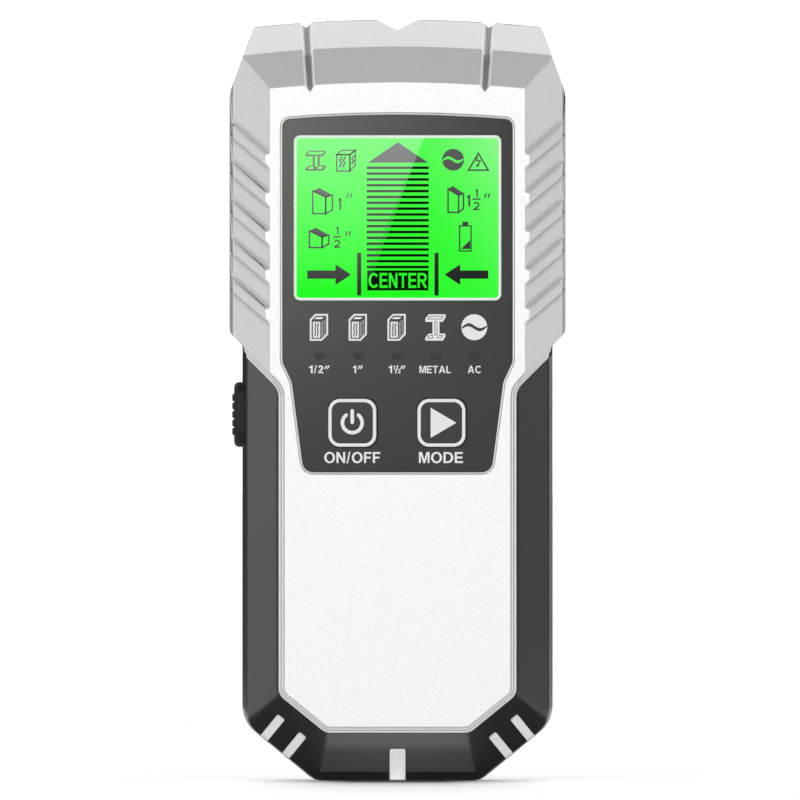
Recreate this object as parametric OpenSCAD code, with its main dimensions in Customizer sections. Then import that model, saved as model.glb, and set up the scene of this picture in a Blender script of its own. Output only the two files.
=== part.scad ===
/* [Overall size] */
// Height of the tool, standing on its flat end
body_h = 166; // [160:1:200]
// Width over the head
head_w = 73.4; // [72:0.2:90]
// Width over the grip
grip_w = 67.7; // [66:0.2:70]
// Depth from the front face to the back of the glide pads
body_d = 29; // [29:0.5:36]
// Depth of the front shell, from the front face to the parting line
front_d = 18.5; // [17.5:0.5:19]

/* [Shells] */
// Wall of the two shells
wall = 2.2; // [1.8:0.1:2.6]
// Thickness of the rubber over the grip
rubber_t = 1.6; // [1.2:0.1:2]
// Wall of the front shell under the rubber
core_t = 2; // [1.6:0.1:2.4]
// Radius of the shallow crown of the top edge
crown_r = 300; // [260:10:400]
// Width of the side wing that falls back from the front face
wing_w = 9; // [8:0.5:10]
// Height of the lower facet of the top edge
lower_facet_h = 7.85; // [6:0.05:9]
// Height of the upper facet of the top edge
upper_facet_h = 6.1; // [5:0.1:7]
// Width of the stepped rim round the grip
rim_w = 1.2; // [0.8:0.1:1.6]
// Depth of the stepped rim below the face
rim_d = 0.9; // [0.6:0.1:1.2]
// Width of the rubber bevel beside the face
bevel_w = 7.95; // [7:0.05:9]
// Depth of the chamfer round the back of the rear shell
back_chamfer = 2.2; // [1.5:0.1:2.4]

/* [Wing ribs] */
// Number of raised ribs on each wing
rib_count = 5; // [3:1:5]
// Distance from one rib to the next
rib_pitch = 8.41; // [7:0.1:8.5]
// Height of a rib, seen from the front
rib_h = 3.15; // [2:0.05:4]
// How far a rib pushes out the edge of the face
rib_raise = 1.02; // [0.6:0.02:1.2]

/* [Panel and display] */
// Width of the dark panel, with its bright border
panel_w = 50.9; // [49:0.1:52]
// Thickness of the dark panel
panel_t = 0.9; // [0.6:0.1:1]
// Width of the display window
window_w = 45; // [42:0.5:46]
// Height of the display window
window_h = 35.8; // [33:0.2:36]
// Thickness of the display glass
glass_t = 2.8; // [2.2:0.1:3.2]
// Thickness of the display's light guide
guide_t = 3; // [2.6:0.1:3.4]

/* [Keys] */
// Width of a square front key
key_w = 10.6; // [9:0.2:11.4]
// Distance between the centres of the two front keys
key_pitch = 19.4; // [17:0.2:21]
// Travel of a front key
key_travel = 0.5; // [0.3:0.05:0.6]
// Length of the side button
scan_l = 14.2; // [12:0.2:16]
// Width of the side button
scan_w = 7; // [6.4:0.2:7.2]
// How far the side button stands out of the grip
scan_out = 1.8; // [1.4:0.1:2.2]
// Travel of the side button
scan_travel = 1.2; // [0.8:0.1:1.3]

/* [Battery] */
// Width of the 9 V block battery
battery_w = 26.5; // [24:0.5:27]
// Thickness of the battery
battery_t = 17.5; // [16:0.5:17.5]
// Height of the battery over its terminals
battery_h = 48.5; // [44:0.5:49]
// Wall of the battery bay
bay_t = 1.2; // [1:0.1:1.4]
// Play round the battery in its bay
battery_gap = 0.2; // [0.15:0.05:0.4]

/* [Back] */
// Thickness of the glide pads
pad_t = 0.6; // [0.4:0.1:1]
// Thickness of the battery door
door_t = 2; // [1.8:0.1:2.2]
// Gap all round the battery door
door_gap = 0.25; // [0.2:0.05:0.4]

/* [Hidden] */
$fn = 48;
eps = 0.01;

// Planes across the depth, from the front face to the back of the rear shell
y_face = -body_d / 2;
y_part = y_face + front_d;
y_back = body_d / 2 - pad_t;
y_in_front = y_face + wall;
y_in_back = y_back - wall;
panel_recess = 0.15;
y_panel = y_face + panel_recess;
y_pocket = y_panel + panel_t;
gasket_t = 0.8;
y_glass = y_in_front + gasket_t;
y_guide = y_glass + glass_t;
y_board = y_guide + guide_t;
board_t = 1.6;
y_board_back = y_board + board_t;

// Face, wings and the edge where the grip's rubber starts
face_half = head_w / 2 - wing_w;
side_draft = 0.8;
rim_half = grip_w / 2 - bevel_w;
grip_bevel_d = 6.6;
step_z = body_h - 80.8;
bottom_rim_z = 10.5;
diagonal_top_z = 18.8;
diagonal_in = 10.2;
diagonal_a = atan2(diagonal_top_z - bottom_rim_z, diagonal_in);
diagonal_w = 9.73;

// Heights of what sits on the face
panel_top_z = body_h - 20.55;
panel_step_z = body_h - 74.9;
panel_bottom_z = body_h - 99.15;
window_z = body_h - 43.4;
led_z = body_h - 73;
key_z = body_h - 88;
scan_z = body_h - 86.2;
scan_y = y_face + 14.3;
led_pitch = 8.45;
led_r = 1.2;

// Clearances
fit = 0.12;
slide_fit = 0.08;
scan_fit = 0.15;
rest_gap = 0.2;

// Battery bay, from the bottom of the battery up
bay_z = 16;
bay_half = battery_w / 2 + battery_gap + 0.1;
y_bay = y_in_front + 0.4;
y_battery = y_bay + bay_t + battery_gap;
battery_y = y_battery + battery_t / 2;
terminal_h = 2.1;
cap_t = 2.8;
bay_top_z = bay_z + battery_h + cap_t + 1.7;
door_half = bay_half + bay_t + 1.15;
door_bottom_z = bay_z - 2.6;
door_top_z = bay_top_z + 1.4;
hinge_z = door_bottom_z + door_t / 2;
hinge_y = y_back - door_t / 2;
y_door_seat = y_back - door_t - rest_gap;
foam_t = 2;
door_ledge_t = 1.4;

// Screws, with the posts that take them
case_shank_r = 1.35;
case_head_r = 2.6;
case_head_h = 2;
case_post_r = 3.2;
case_sink = 3;
case_grip_l = 8;
board_shank_r = 0.9;
board_head_r = 1.9;
board_head_h = 1.2;
board_post_r = 2.2;
thread_gap = 0.05;
shank_gap = 0.25;

// Fastening points as [x, z]
case_head_points = [[head_w / 2 - 6.7, body_h - 26], [6.7 - head_w / 2, body_h - 26]];
case_grip_points = [[rim_half - 1.4, 20], [1.4 - rim_half, 20]];
case_points = concat(case_head_points, case_grip_points);
board_half = 26.2;
board_top_z = body_h - 16;
board_bottom_z = body_h - 94.5;
board_points = [
    for (p = [[23, 18.5], [23, 69.5], [21.5, 91.5]], side = [-1, 1])
        [side * p.x, body_h - p.y]
];
sensor_half = 26;
sensor_t = 1.2;
sensor_lift = 1.6;
y_sensor_back = y_in_back - sensor_lift;
y_sensor = y_sensor_back - sensor_t;
sensor_top_z = body_h - 7;
sensor_bottom_z = body_h - 68;
sensor_points = [
    for (z = [sensor_bottom_z + 5, sensor_top_z - 4], side = [-1, 1]) [side * 22, z]
];

// Switches behind the keys
switch_w = 6;
switch_h = 3.5;
plunger_r = 1.75;
y_switch = y_board - switch_h;
y_plunger = y_switch - 1.6;
flange_t = 1;

// ---- Outline helpers: an outline is a list of [x, y, corner radius] ----

function unit(v) = v / norm(v);
function flat(p) = [p.x, p.y];

// Moves every edge of an anticlockwise outline inwards by d
function inset(path, d) = [
    for (i = [0 : len(path) - 1])
        let (
            n = len(path),
            b = path[i],
            u = unit(flat(b) - flat(path[(i + n - 1) % n])),
            v = unit(flat(path[(i + 1) % n]) - flat(b)),
            turn = sign(u.x * v.y - u.y * v.x),
            m = [-u.y - v.y, u.x + v.x] * d / (1 + u * v)
        )
        [b.x + m.x, b.y + m.y, b.z == 0 ? 0 : max(b.z - turn * d, 0.2)]
];

// Turns each corner with a radius into an arc of points
function rounded(path, steps = 6) = [
    for (i = [0 : len(path) - 1])
        let (
            n = len(path),
            b = flat(path[i]),
            r = path[i].z,
            u = unit(flat(path[(i + n - 1) % n]) - b),
            v = unit(flat(path[(i + 1) % n]) - b),
            half = acos(u * v) / 2,
            c = b + unit(u + v) * r / sin(half),
            s = b + u * r / tan(half) - c,
            e = b + v * r / tan(half) - c,
            a0 = atan2(s.y, s.x),
            swing = (atan2(e.y, e.x) - a0 + 900) % 360 - 180
        )
        each r == 0 ? [b]
            : [for (k = [0 : steps]) c + r * [cos(a0 + swing * k / steps), sin(a0 + swing * k / steps)]]
];

// Closes the right-hand half of an outline, listed upwards, with its mirror image
function mirrored(half) =
    concat(half, [for (i = [len(half) - 1 : -1 : 0]) if (half[i].x > 0) [-half[i].x, half[i].y, half[i].z]]);

function rectangle(w, h, r) =
    [[-w / 2, -h / 2, r], [w / 2, -h / 2, r], [w / 2, h / 2, r], [-w / 2, h / 2, r]];

// Drop of the crown at a distance x from the middle
function crown_drop(x) = crown_r - sqrt(crown_r * crown_r - x * x);

// ---- Outlines seen from the front ----

grip_half = grip_w / 2;
foot_half = grip_half - 15.75;
foot_rise = 12.7;
rim_shift = rim_w * sqrt(2);
head_half = head_w / 2;
neck_z = step_z + rim_shift - rim_half;
shoulder_z = body_h - 16.3;
shoulder_run = 5.4;
shoulder_rise = 14.6;

// Outer edge below the head's shoulders
side_corners = [
    [foot_half, 0, 3],
    [grip_half, foot_rise, 8],
    [grip_half, neck_z + grip_half, 0.8],
    [head_half, neck_z + head_half, 2.5],
    [head_half, shoulder_z, 8]
];
corner_x = head_half - shoulder_run;
outline = mirrored(concat(
    side_corners,
    [[corner_x, body_h - crown_drop(corner_x), 1.8]],
    [for (x = [24, 16, 8, 0]) [x, body_h - crown_drop(x), 0]]
));
over_top = 6;
open_outline = mirrored(concat(
    side_corners,
    [[head_half - shoulder_run * (1 + over_top / shoulder_rise),
        shoulder_z + shoulder_rise + over_top, 0]]
));

// Edge between the silver face and the rubber, open above the head
rim_outline = mirrored([
    [rim_half - diagonal_in, bottom_rim_z, 3],
    [rim_half, diagonal_top_z, 3],
    [rim_half, step_z, 4],
    [rim_half + 30, step_z + 30, 0],
    [rim_half + 30, body_h + 30, 0]
]);

panel_half = panel_w / 2;
panel_outline = mirrored(concat(
    [
        [panel_half - 4.64, panel_bottom_z, 2.75],
        [panel_half - 2.05, panel_step_z - 4.3, 4.45],
        [panel_half, panel_step_z, 3.55],
        [panel_half, panel_top_z - crown_drop(panel_half), 2.05]
    ],
    [for (x = [18, 9, 0]) [x, panel_top_z - crown_drop(x), 0]]
));
window_outline = rectangle(window_w, window_h, 1.3);
key_outline = rectangle(key_w, key_w, 2.2);

// ---- Placing helpers ----

// Extrudes an outline seen from the front through the depth from y0 to y1
module slab(y0, y1) {
    translate([0, y1, 0]) rotate([90, 0, 0]) linear_extrude(y1 - y0) children();
}

module plate(path, y0, y1) {
    slab(y0, y1) polygon(rounded(path));
}

// A round bar along the depth at [x, z]
module bar(p, r, y0, y1) {
    translate([p.x, y1, p.y]) rotate([90, 0, 0]) cylinder(r = r, h = y1 - y0);
}

// A block with its middle at [x, z], reaching from y0 to y1
module block(p, w, h, y0, y1) {
    translate([p.x - w / 2, y0, p.y - h / 2]) cube([w, y1 - y0, h]);
}

// A cross-head screw along the depth, its head's underside at y and its tip towards the front
module screw(p, y, head_r, head_h, shank_r, shank_l) {
    difference() {
        union() {
            bar(p, head_r, y, y + head_h);
            bar(p, shank_r, y - shank_l, y + eps);
        }
        for (a = [0, 90])
            translate([p.x, y + head_h, p.y])
                rotate([0, a, 0])
                    cube([head_r * 1.2, head_h, head_r * 0.28], center = true);
    }
}

// ---- Shell forms; t moves every surface inwards ----

// Side walls of the head with their bevelled wings, raised where the ribs are
module head_section(t, raise = 0) {
    section = mirrored([
        [face_half + raise, y_face, 0],
        [head_half - side_draft, y_face + wing_w - side_draft - raise, 0],
        [head_half, y_part, 0],
        [head_half, y_part + 20, 0]
    ]);
    linear_extrude(body_h + 60) polygon(rounded(inset(section, t)));
}

// The crowned top with its two facets, as a disc about an axis through the depth
module crown(t) {
    lower = crown_r - upper_facet_h - lower_facet_h;
    facet_d = lower_facet_h * 0.81;
    section = [
        [0, y_face, 0],
        [lower, y_face, 0],
        [lower + lower_facet_h, y_face + facet_d, 0],
        [crown_r, y_part, 0],
        [crown_r, y_part + 20, 0],
        [0, y_part + 20, 0]
    ];
    translate([0, 0, body_h - crown_r])
        rotate([-90, 0, 0])
            rotate_extrude($fn = 720)
                polygon(rounded(inset(section, t)));
}

module head_form(t, raise = 0) {
    intersection() {
        plate(inset(open_outline, t), y_face, y_part);
        head_section(t, raise);
        crown(t);
    }
}

// One bevelled side of the grip: a long prism that ends at width w outside the rim
module grip_side(w, t, draft = 1) {
    y_rubber = y_face + rim_d + 0.3;
    section = [
        [-150, y_rubber, 0],
        [0, y_rubber, 0],
        [w - draft, y_rubber + grip_bevel_d + 0.3, 2.5],
        [w, y_part, 0],
        [w, y_part + 20, 0],
        [-150, y_part + 20, 0]
    ];
    translate([0, 0, -150]) linear_extrude(400) polygon(rounded(inset(section, t)));
}

// Puts a grip side, or what sits on it, at a lower edge of the rim
module at_diagonal(flip) {
    mirror([flip, 0, 0])
        translate([rim_half - diagonal_in / 2, 0, (diagonal_top_z + bottom_rim_z) / 2])
            rotate([0, 90 - diagonal_a, 0])
                children();
}

module at_bottom() {
    translate([0, 0, bottom_rim_z]) rotate([0, 90, 0]) children();
}

module grip_form(t) {
    intersection() {
        plate(inset(open_outline, t), y_face, y_part);
        for_both_sides() translate([rim_half, 0, 0]) grip_side(bevel_w, t);
        at_diagonal(0) grip_side(diagonal_w, t);
        at_diagonal(1) grip_side(diagonal_w, t);
        at_bottom() grip_side(bottom_rim_z, t, 0);
        translate([-60, y_face, -10]) cube([120, body_d, step_z + 24]);
    }
}

// Bars that show through the rubber at the foot
middle_bar_w = 3.76;
bar_w = 1.94;
bar_start = 3.4;
bar_pitch = 6.07;
bar_corner = 0.5;
bar_l = 20;
module foot_bars() {
    module one(w) {
        slab(y_face - 5, y_face + 12)
            polygon(rounded([
                [bar_start, -w / 2, bar_corner],
                [bar_start + bar_l, -w / 2, 0],
                [bar_start + bar_l, w / 2, 0],
                [bar_start, w / 2, bar_corner]
            ]));
    }
    at_bottom() one(middle_bar_w);
    for (flip = [0, 1], s = [-0.5, 0.5])
        at_diagonal(flip) translate([0, 0, s * bar_pitch]) one(bar_w);
}

// The ribs of the wings: each is the raised wing between a sloping upper wall and a lower wall
// that runs straight back
rib_slope = 40.4;
rib_top_slope = 46.4;
rib_top_z = body_h - 29.55;
module wing_ribs() {
    rise = tan(rib_slope);
    dip = atan(tan(rib_top_slope) - rise);
    lean = atan(tan(rib_top_slope) * cos(dip));
    reach = 30;
    for (flip = [0, 1], k = [0 : rib_count - 1])
        mirror([flip, 0, 0])
            translate([face_half, y_face, rib_top_z - k * rib_pitch])
                intersection() {
                    rotate([lean, dip, 0])
                        translate([-reach, -reach, -2 * reach])
                            cube(2 * reach);
                    slab(-1, reach)
                        polygon([
                            [-reach, -rib_h - reach * rise],
                            [reach, -rib_h + reach * rise],
                            [-reach, reach]
                        ]);
                }
}

// Narrow index grooves over the two top facets, and the marking notch in the middle
groove_w = 2.2;
groove_d = 1;
module facet_groove(r0, y0, r1, y1) {
    slope = atan2(y1 - y0, r1 - r0);
    long = norm([r1 - r0, y1 - y0]);
    translate([0, y0, r0])
        rotate([-slope, 0, 0])
            translate([0, 0, -4])
                linear_extrude(long + 8)
                    polygon([[-groove_w, -groove_d], [groove_w, -groove_d], [0, groove_d]]);
}

module index_grooves() {
    lower = crown_r - upper_facet_h - lower_facet_h;
    knee = crown_r - upper_facet_h;
    y_knee = y_face + lower_facet_h * 0.81;
    for (side = [-1, 1])
        translate([0, 0, body_h - crown_r])
            rotate([0, side * asin(20 / crown_r), 0]) {
                facet_groove(lower, y_face, knee, y_knee);
                facet_groove(knee, y_knee, crown_r, y_part);
            }
}

notch_w = 8.9;
notch_d = 2.85;
module marking_notch(backing = 0) {
    translate([0, y_part, body_h - notch_d - backing])
        rotate([-6, 0, 0])
            slab(-40, 30)
                polygon([[0, 0], [notch_w, 2 * notch_d], [-notch_w, 2 * notch_d]]);
}

module front_outer() {
    union() {
        intersection() {
            head_form(0);
            plate(inset(rim_outline, rim_w), y_face - 1, y_part + 1);
        }
        intersection() {
            head_form(0, rib_raise);
            wing_ribs();
        }
        intersection() {
            head_form(rim_d / 2);
            plate(inset(rim_outline, rim_w / 2), y_face - 1, y_part + 1);
        }
        intersection() {
            head_form(rim_d);
            plate(rim_outline, y_face - 1, y_part + 1);
        }
        grip_form(rubber_t);
        intersection() {
            grip_form(rest_gap);
            foot_bars();
        }
    }
}

module front_cavity() {
    intersection() {
        head_form(wall);
        plate(inset(rim_outline, rim_w + core_t), y_face - 1, y_part + 1);
    }
    grip_form(rubber_t + core_t);
}

module case_posts(y0, y1) {
    for (p = case_points) bar(p, case_post_r, y0, y1);
}

// A block with rounded ends across the width, as the side button and its slot have
module scan_shape(l, w, x0, x1) {
    translate([x0, scan_y, scan_z])
        rotate([0, 90, 0])
            linear_extrude(x1 - x0)
                polygon(rounded(rectangle(l, w, w / 2 - eps), 12));
}

module scan_slot() {
    scan_shape(scan_l + 2 * scan_fit, scan_w + 2 * scan_fit, -head_half, -rim_half);
}

// ---- Shells ----

module front_shell() {
    color("gainsboro")
        difference() {
            front_outer();
            difference() {
                front_cavity();
                case_posts(y_face - 1, y_part + 1);
                for (p = board_points) bar(p, board_post_r, y_face - 1, y_board);
                marking_notch(wall);
            }
            for (p = case_points)
                bar(p, case_shank_r + thread_gap, y_part - case_grip_l - 1, y_part + 1);
            for (p = board_points) bar(p, board_shank_r + thread_gap, y_board - 4, y_board + 1);
            plate(panel_outline, y_face - 1, y_pocket);
            translate([0, 0, window_z])
                plate(inset(window_outline, 0.8), y_face, y_in_front + 1);
            for (side = [-1, 1])
                translate([side * key_pitch / 2, 0, key_z])
                    plate(inset(key_outline, -fit), y_face, y_in_front + 1);
            for (k = [-2 : 2]) bar([k * led_pitch, led_z], led_r + fit, y_face, y_in_front + 1);
            scan_slot();
            index_grooves();
            marking_notch();
        }
}

// One side of the rear shell: a long prism with a slight draft and a chamfered back edge
back_draft = 0.35;
module back_side(w, draft = back_draft) {
    section = [
        [-150, y_part],
        [w, y_part],
        [w - draft, y_back - back_chamfer],
        [w - draft - back_chamfer, y_back],
        [-150, y_back]
    ];
    translate([0, 0, -150]) linear_extrude(400) polygon(section);
}

module back_crown() {
    section = [
        [0, y_part],
        [crown_r, y_part],
        [crown_r - back_draft, y_back - back_chamfer],
        [crown_r - back_draft - back_chamfer, y_back],
        [0, y_back]
    ];
    translate([0, 0, body_h - crown_r])
        rotate([-90, 0, 0])
            rotate_extrude($fn = 720)
                polygon(section);
}

module rear_form() {
    shoulder_a = atan(shoulder_run / shoulder_rise);
    intersection() {
        plate(open_outline, y_part, y_back);
        translate([-60, y_face, neck_z + grip_half]) cube([120, body_d, 200]);
        for_both_sides() translate([head_half, 0, 0]) back_side(0);
        for_both_sides()
            translate([head_half, 0, shoulder_z]) rotate([0, -shoulder_a, 0]) back_side(0);
        back_crown();
    }
    intersection() {
        plate(open_outline, y_part, y_back);
        translate([-60, y_face, -10]) cube([120, body_d, shoulder_z]);
        for_both_sides() translate([rim_half, 0, 0]) back_side(bevel_w);
        at_diagonal(0) back_side(diagonal_w);
        at_diagonal(1) back_side(diagonal_w);
        at_bottom() back_side(bottom_rim_z, 0);
    }
}

// Keeps what lies inside a right-hand limit and its mirror image
module for_both_sides() {
    intersection() {
        children();
        mirror([1, 0, 0]) children();
    }
}

module bay_box(g) {
    middle = (bay_z - battery_gap + bay_top_z) / 2;
    high = bay_top_z - bay_z + battery_gap;
    block([0, middle], 2 * bay_half + 2 * g, high + 2 * g, y_bay + bay_t - g,
        max(y_in_back, y_door_seat) + eps);
}

module rear_shell() {
    middle = (door_bottom_z + door_top_z) / 2;
    high = door_top_z - door_bottom_z + 2 * door_gap;
    color("dimgray")
        difference() {
            union() {
                difference() {
                    rear_form();
                    difference() {
                        plate(inset(outline, wall + back_draft), y_part - 1, y_in_back);
                        case_posts(y_part - 2, y_in_back + 1);
                        for (p = sensor_points) bar(p, board_post_r, y_sensor_back, y_in_back + 1);
                        marking_notch(wall);
                    }
                }
                intersection() {
                    bay_box(bay_t);
                    plate(inset(rim_outline, rim_w + core_t + rest_gap), y_face, y_back);
                }
                block([0, middle], 2 * door_half + 2, high + 2, y_door_seat - door_ledge_t, y_in_back + eps);
            }
            bay_box(0);
            block([0, middle], 2 * door_half, high, y_door_seat, y_back + 1);
            for (p = case_points) {
                bar(p, case_shank_r + shank_gap, y_part - 1, y_back + 1);
                bar(p, case_head_r + 0.3, y_back - case_sink, y_back + 1);
            }
            for (p = sensor_points)
                bar(p, board_shank_r + thread_gap, y_sensor_back - 1, y_in_back + 1.2);
            block([0, bay_top_z + bay_t / 2], 12, bay_t + 1, battery_y - 1.6, battery_y + 3);
            marking_notch();
        }
}

module grip_overmould() {
    color("#4a4a4c")
        difference() {
            grip_form(0);
            grip_form(rubber_t);
            plate(rim_outline, y_face - 1, y_part + 1);
            intersection() {
                grip_form(rest_gap);
                foot_bars();
            }
            foot_bars();
            scan_slot();
        }
}

module panel_overlay() {
    color("#484848")
        difference() {
            plate(inset(panel_outline, 0.1), y_panel, y_pocket);
            translate([0, 0, window_z]) plate(inset(window_outline, -0.1), y_panel - 1, y_pocket + 1);
            for (side = [-1, 1])
                translate([side * key_pitch / 2, 0, key_z])
                    plate(inset(key_outline, -fit), y_panel - 1, y_pocket + 1);
            for (k = [-2 : 2]) bar([k * led_pitch, led_z], led_r, y_panel - 1, y_pocket + 1);
        }
}

module window_lens() {
    color("#8cff8c")
        translate([0, 0, window_z]) plate(window_outline, y_panel, y_pocket);
}

// ---- Keys ----

module front_key(side) {
    translate([side * key_pitch / 2, 0, key_z]) {
        plate(key_outline, y_panel, y_in_front + rest_gap + eps);
        plate(inset(key_outline, -1.1), y_in_front + rest_gap, y_in_front + rest_gap + flange_t);
        bar([0, 0], plunger_r, y_in_front + rest_gap + flange_t - eps, y_plunger);
    }
}

module power_key() {
    color("#484848") front_key(-1);
}

module mode_key() {
    color("#484848") front_key(1);
}

module switch_plunger(side) {
    bar([side * key_pitch / 2, key_z], plunger_r, y_plunger, y_switch + 0.9);
}

module power_plunger() {
    color("white") switch_plunger(-1);
}

module mode_plunger() {
    color("white") switch_plunger(1);
}

module key_switches() {
    color("#202020")
        for (side = [-1, 1])
            difference() {
                block([side * key_pitch / 2, key_z], switch_w, switch_w, y_switch, y_board);
                bar([side * key_pitch / 2, key_z], plunger_r + slide_fit, y_switch - 1,
                    y_switch + 0.9 + key_travel + 0.2);
            }
}

// The side button rides in the grip's wall and presses a switch at the edge of the main board
core_in_x = -(grip_half - rubber_t - core_t);
scan_face_x = -(grip_half + scan_out);
wall_draft = 0.8;
scan_flange_x = core_in_x + wall_draft;
scan_switch_x = -board_half;
scan_plunger_x = scan_switch_x - 1.8;
scan_flange_t = 0.8;
scan_rib_h = 0.4;
scan_rib_w = 1.5;
scan_rib_l = 4.8;
scan_rib_pitch = 1.85;
module scan_button() {
    color("#303032") {
        scan_shape(scan_l, scan_w, scan_face_x, scan_flange_x + eps);
        scan_shape(scan_l + 1.8, scan_w - 1, scan_flange_x, scan_flange_x + scan_flange_t);
        translate([scan_flange_x + scan_flange_t - eps, scan_y, scan_z])
            rotate([0, 90, 0])
                cylinder(r = plunger_r, h = scan_plunger_x - scan_flange_x - scan_flange_t + eps);
        for (k = [-2 : 2])
            translate([scan_face_x - scan_rib_h, scan_y, scan_z + k * scan_rib_pitch])
                translate([0, -scan_rib_l / 2, -scan_rib_w / 2])
                    cube([1, scan_rib_l, scan_rib_w]);
    }
}

module scan_plunger() {
    color("white")
        translate([scan_plunger_x, scan_y, scan_z])
            rotate([0, 90, 0])
                cylinder(r = plunger_r, h = scan_switch_x + 0.9 - scan_plunger_x);
}

module scan_switch() {
    color("#202020")
        difference() {
            translate([scan_switch_x, y_board_back, scan_z - switch_w / 2])
                cube([switch_h + 0.2, scan_y + switch_w / 2 - y_board_back, switch_w]);
            translate([scan_switch_x - 1, scan_y, scan_z])
                rotate([0, 90, 0])
                    cylinder(r = plunger_r + slide_fit, h = 1 + 0.9 + scan_travel + 0.2);
        }
}

// ---- Back of the tool ----

module battery_door() {
    z0 = hinge_z;
    ribs_y = y_battery + battery_t + 0.3 + foam_t;
    color("dimgray") {
        difference() {
            union() {
                block([0, (z0 + door_top_z) / 2], 2 * door_half - 2 * door_gap, door_top_z - z0,
                    y_back - door_t, y_back);
                translate([-door_half + door_gap, hinge_y, hinge_z])
                    rotate([0, 90, 0])
                        cylinder(r = door_t / 2, h = 2 * (door_half - door_gap));
            }
            for (side = [-1, 1])
                block([side * 6, door_top_z - 5], 0.8, 10.2, y_back - door_t - 1, y_back + 1);
            for (k = [0 : 3])
                translate([0, y_back + 0.5, door_top_z - 3 - 1.8 * k])
                    rotate([0, 90, 0])
                        cylinder(r = 1, h = 9, center = true);
        }
        for (x = [-9, 0, 9])
            block([x, bay_z + 24], bay_t, 36, ribs_y, y_back - door_t + eps);
    }
}

module door_foam() {
    y0 = y_battery + battery_t + 0.3;
    color("#3a3a3a") block([0, bay_z + 24], 20, 30, y0, y0 + foam_t);
}

module glide_pads() {
    color("#2b2b2b") {
        translate([0, 0, body_h - 12]) plate(rectangle(44, 5, 2.4), y_back, y_back + pad_t);
        translate([0, 0, body_h - 62]) plate(rectangle(44, 5, 2.4), y_back, y_back + pad_t);
        for (side = [-1, 1])
            translate([side * (door_half + 6.5), 0, 48])
                plate(rectangle(5, 34, 2.4), y_back, y_back + pad_t);
    }
}

module case_screws() {
    color("silver")
        for (p = case_points)
            screw(p, y_back - case_sink, case_head_r, case_head_h, case_shank_r,
                y_back - case_sink - y_part + case_grip_l);
}

// ---- Boards and what sits on them ----

module main_board() {
    color("darkgreen")
        difference() {
            block([0, (board_top_z + board_bottom_z) / 2], 2 * board_half,
                board_top_z - board_bottom_z, y_board, y_board_back);
            for (p = board_points) bar(p, board_shank_r + shank_gap, y_board - 1, y_board_back + 1);
        }
}

module main_board_screws() {
    color("silver")
        for (p = board_points)
            screw(p, y_board_back, board_head_r, board_head_h, board_shank_r, board_t + 3.4);
}

module sensor_board() {
    color("darkgreen")
        difference() {
            block([0, (sensor_top_z + sensor_bottom_z) / 2], 2 * sensor_half,
                sensor_top_z - sensor_bottom_z, y_sensor, y_sensor_back);
            for (p = sensor_points)
                bar(p, board_shank_r + shank_gap, y_sensor - 1, y_sensor_back + 1);
        }
}

module sensor_board_screws() {
    color("silver")
        for (p = sensor_points)
            mirror([0, 1, 0])
                screw(p, -y_sensor, board_head_r, board_head_h, board_shank_r,
                    sensor_t + sensor_lift + 1);
}

module sensor_plates() {
    color("darkgoldenrod")
        for (x = [-13.5, 0, 13.5])
            block([x, body_h - 36], 12, 36, y_sensor_back, y_sensor_back + 0.25);
}

module metal_coil() {
    color("chocolate")
        translate([0, y_sensor - 4, body_h - 32])
            rotate([-90, 0, 0])
                rotate_extrude()
                    translate([11, 0]) square([4, 4]);
}

module board_header() {
    z = body_h - 60;
    color("#222222") {
        block([0, z], 15.2, 2.5, y_board_back, y_board_back + 2.5);
        block([0, z], 15.2, 2.5, y_sensor - 4.5, y_sensor);
    }
    color("gold")
        for (k = [-2.5 : 2.5])
            block([k * 2.54, z], 0.64, 0.64, y_board_back + 2.5 - eps, y_sensor - 4.5 + eps);
}

// ---- Display ----

glass_outline = rectangle(window_w + 3.6, window_h + 6.2, 0.4);
module lcd_gasket() {
    color("#151515")
        translate([0, 0, window_z])
            difference() {
                plate(inset(glass_outline, 0.4), y_in_front, y_glass);
                plate(inset(window_outline, 0.3), y_in_front - 1, y_glass + 1);
            }
}

module lcd_glass() {
    color("#b8d8b8") translate([0, 0, window_z]) plate(glass_outline, y_glass, y_guide);
}

module lcd_guide() {
    color("white") block([0, window_z + 1.4], window_w + 1, window_h + 1.4, y_guide, y_board);
}

module lcd_connector() {
    color("#e88fa0")
        block([0, window_z - window_h / 2 - 1.4], window_w - 3, 2.2, y_guide, y_board);
}

module backlight_leds() {
    color("#f4f4e0")
        for (side = [-1, 1])
            block([side * 12, window_z + window_h / 2 + 2.55], 3, 0.8, y_board - 1.4, y_board);
}

module lcd_frame() {
    color("whitesmoke")
        translate([0, 0, window_z])
            difference() {
                plate(inset(glass_outline, -1.4), y_glass, y_board);
                plate(inset(glass_outline, -0.15), y_glass - 1, y_board + 1);
            }
}

module indicator_leds() {
    color("#f0f0c8")
        for (k = [-2 : 2]) block([k * led_pitch, led_z], 2, 1.25, y_board - 0.8, y_board);
}

module light_pipes() {
    color("#dfe8ea") {
        block([0, led_z], 4 * led_pitch + 3.4, 3.4, y_in_front, y_in_front + 1);
        for (k = [-2 : 2]) bar([k * led_pitch, led_z], led_r - 0.1, y_face + 0.6, y_board - 1);
    }
}

// ---- Parts on the back of the main board ----

module controller_chip() {
    color("#1c1c1c") {
        block([0, body_h - 41], 12, 12, y_board_back + 0.2, y_board_back + 1.6);
        block([0, body_h - 41], 13.6, 13.6, y_board_back, y_board_back + 0.25);
    }
}

module amplifier_chips() {
    color("#1c1c1c")
        for (side = [-1, 1]) block([side * 14, body_h - 48], 5, 4, y_board_back, y_board_back + 1.5);
}

module regulator() {
    color("#1c1c1c") block([-10, body_h - 82], 6.5, 3.5, y_board_back, y_board_back + 1.7);
}

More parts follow.
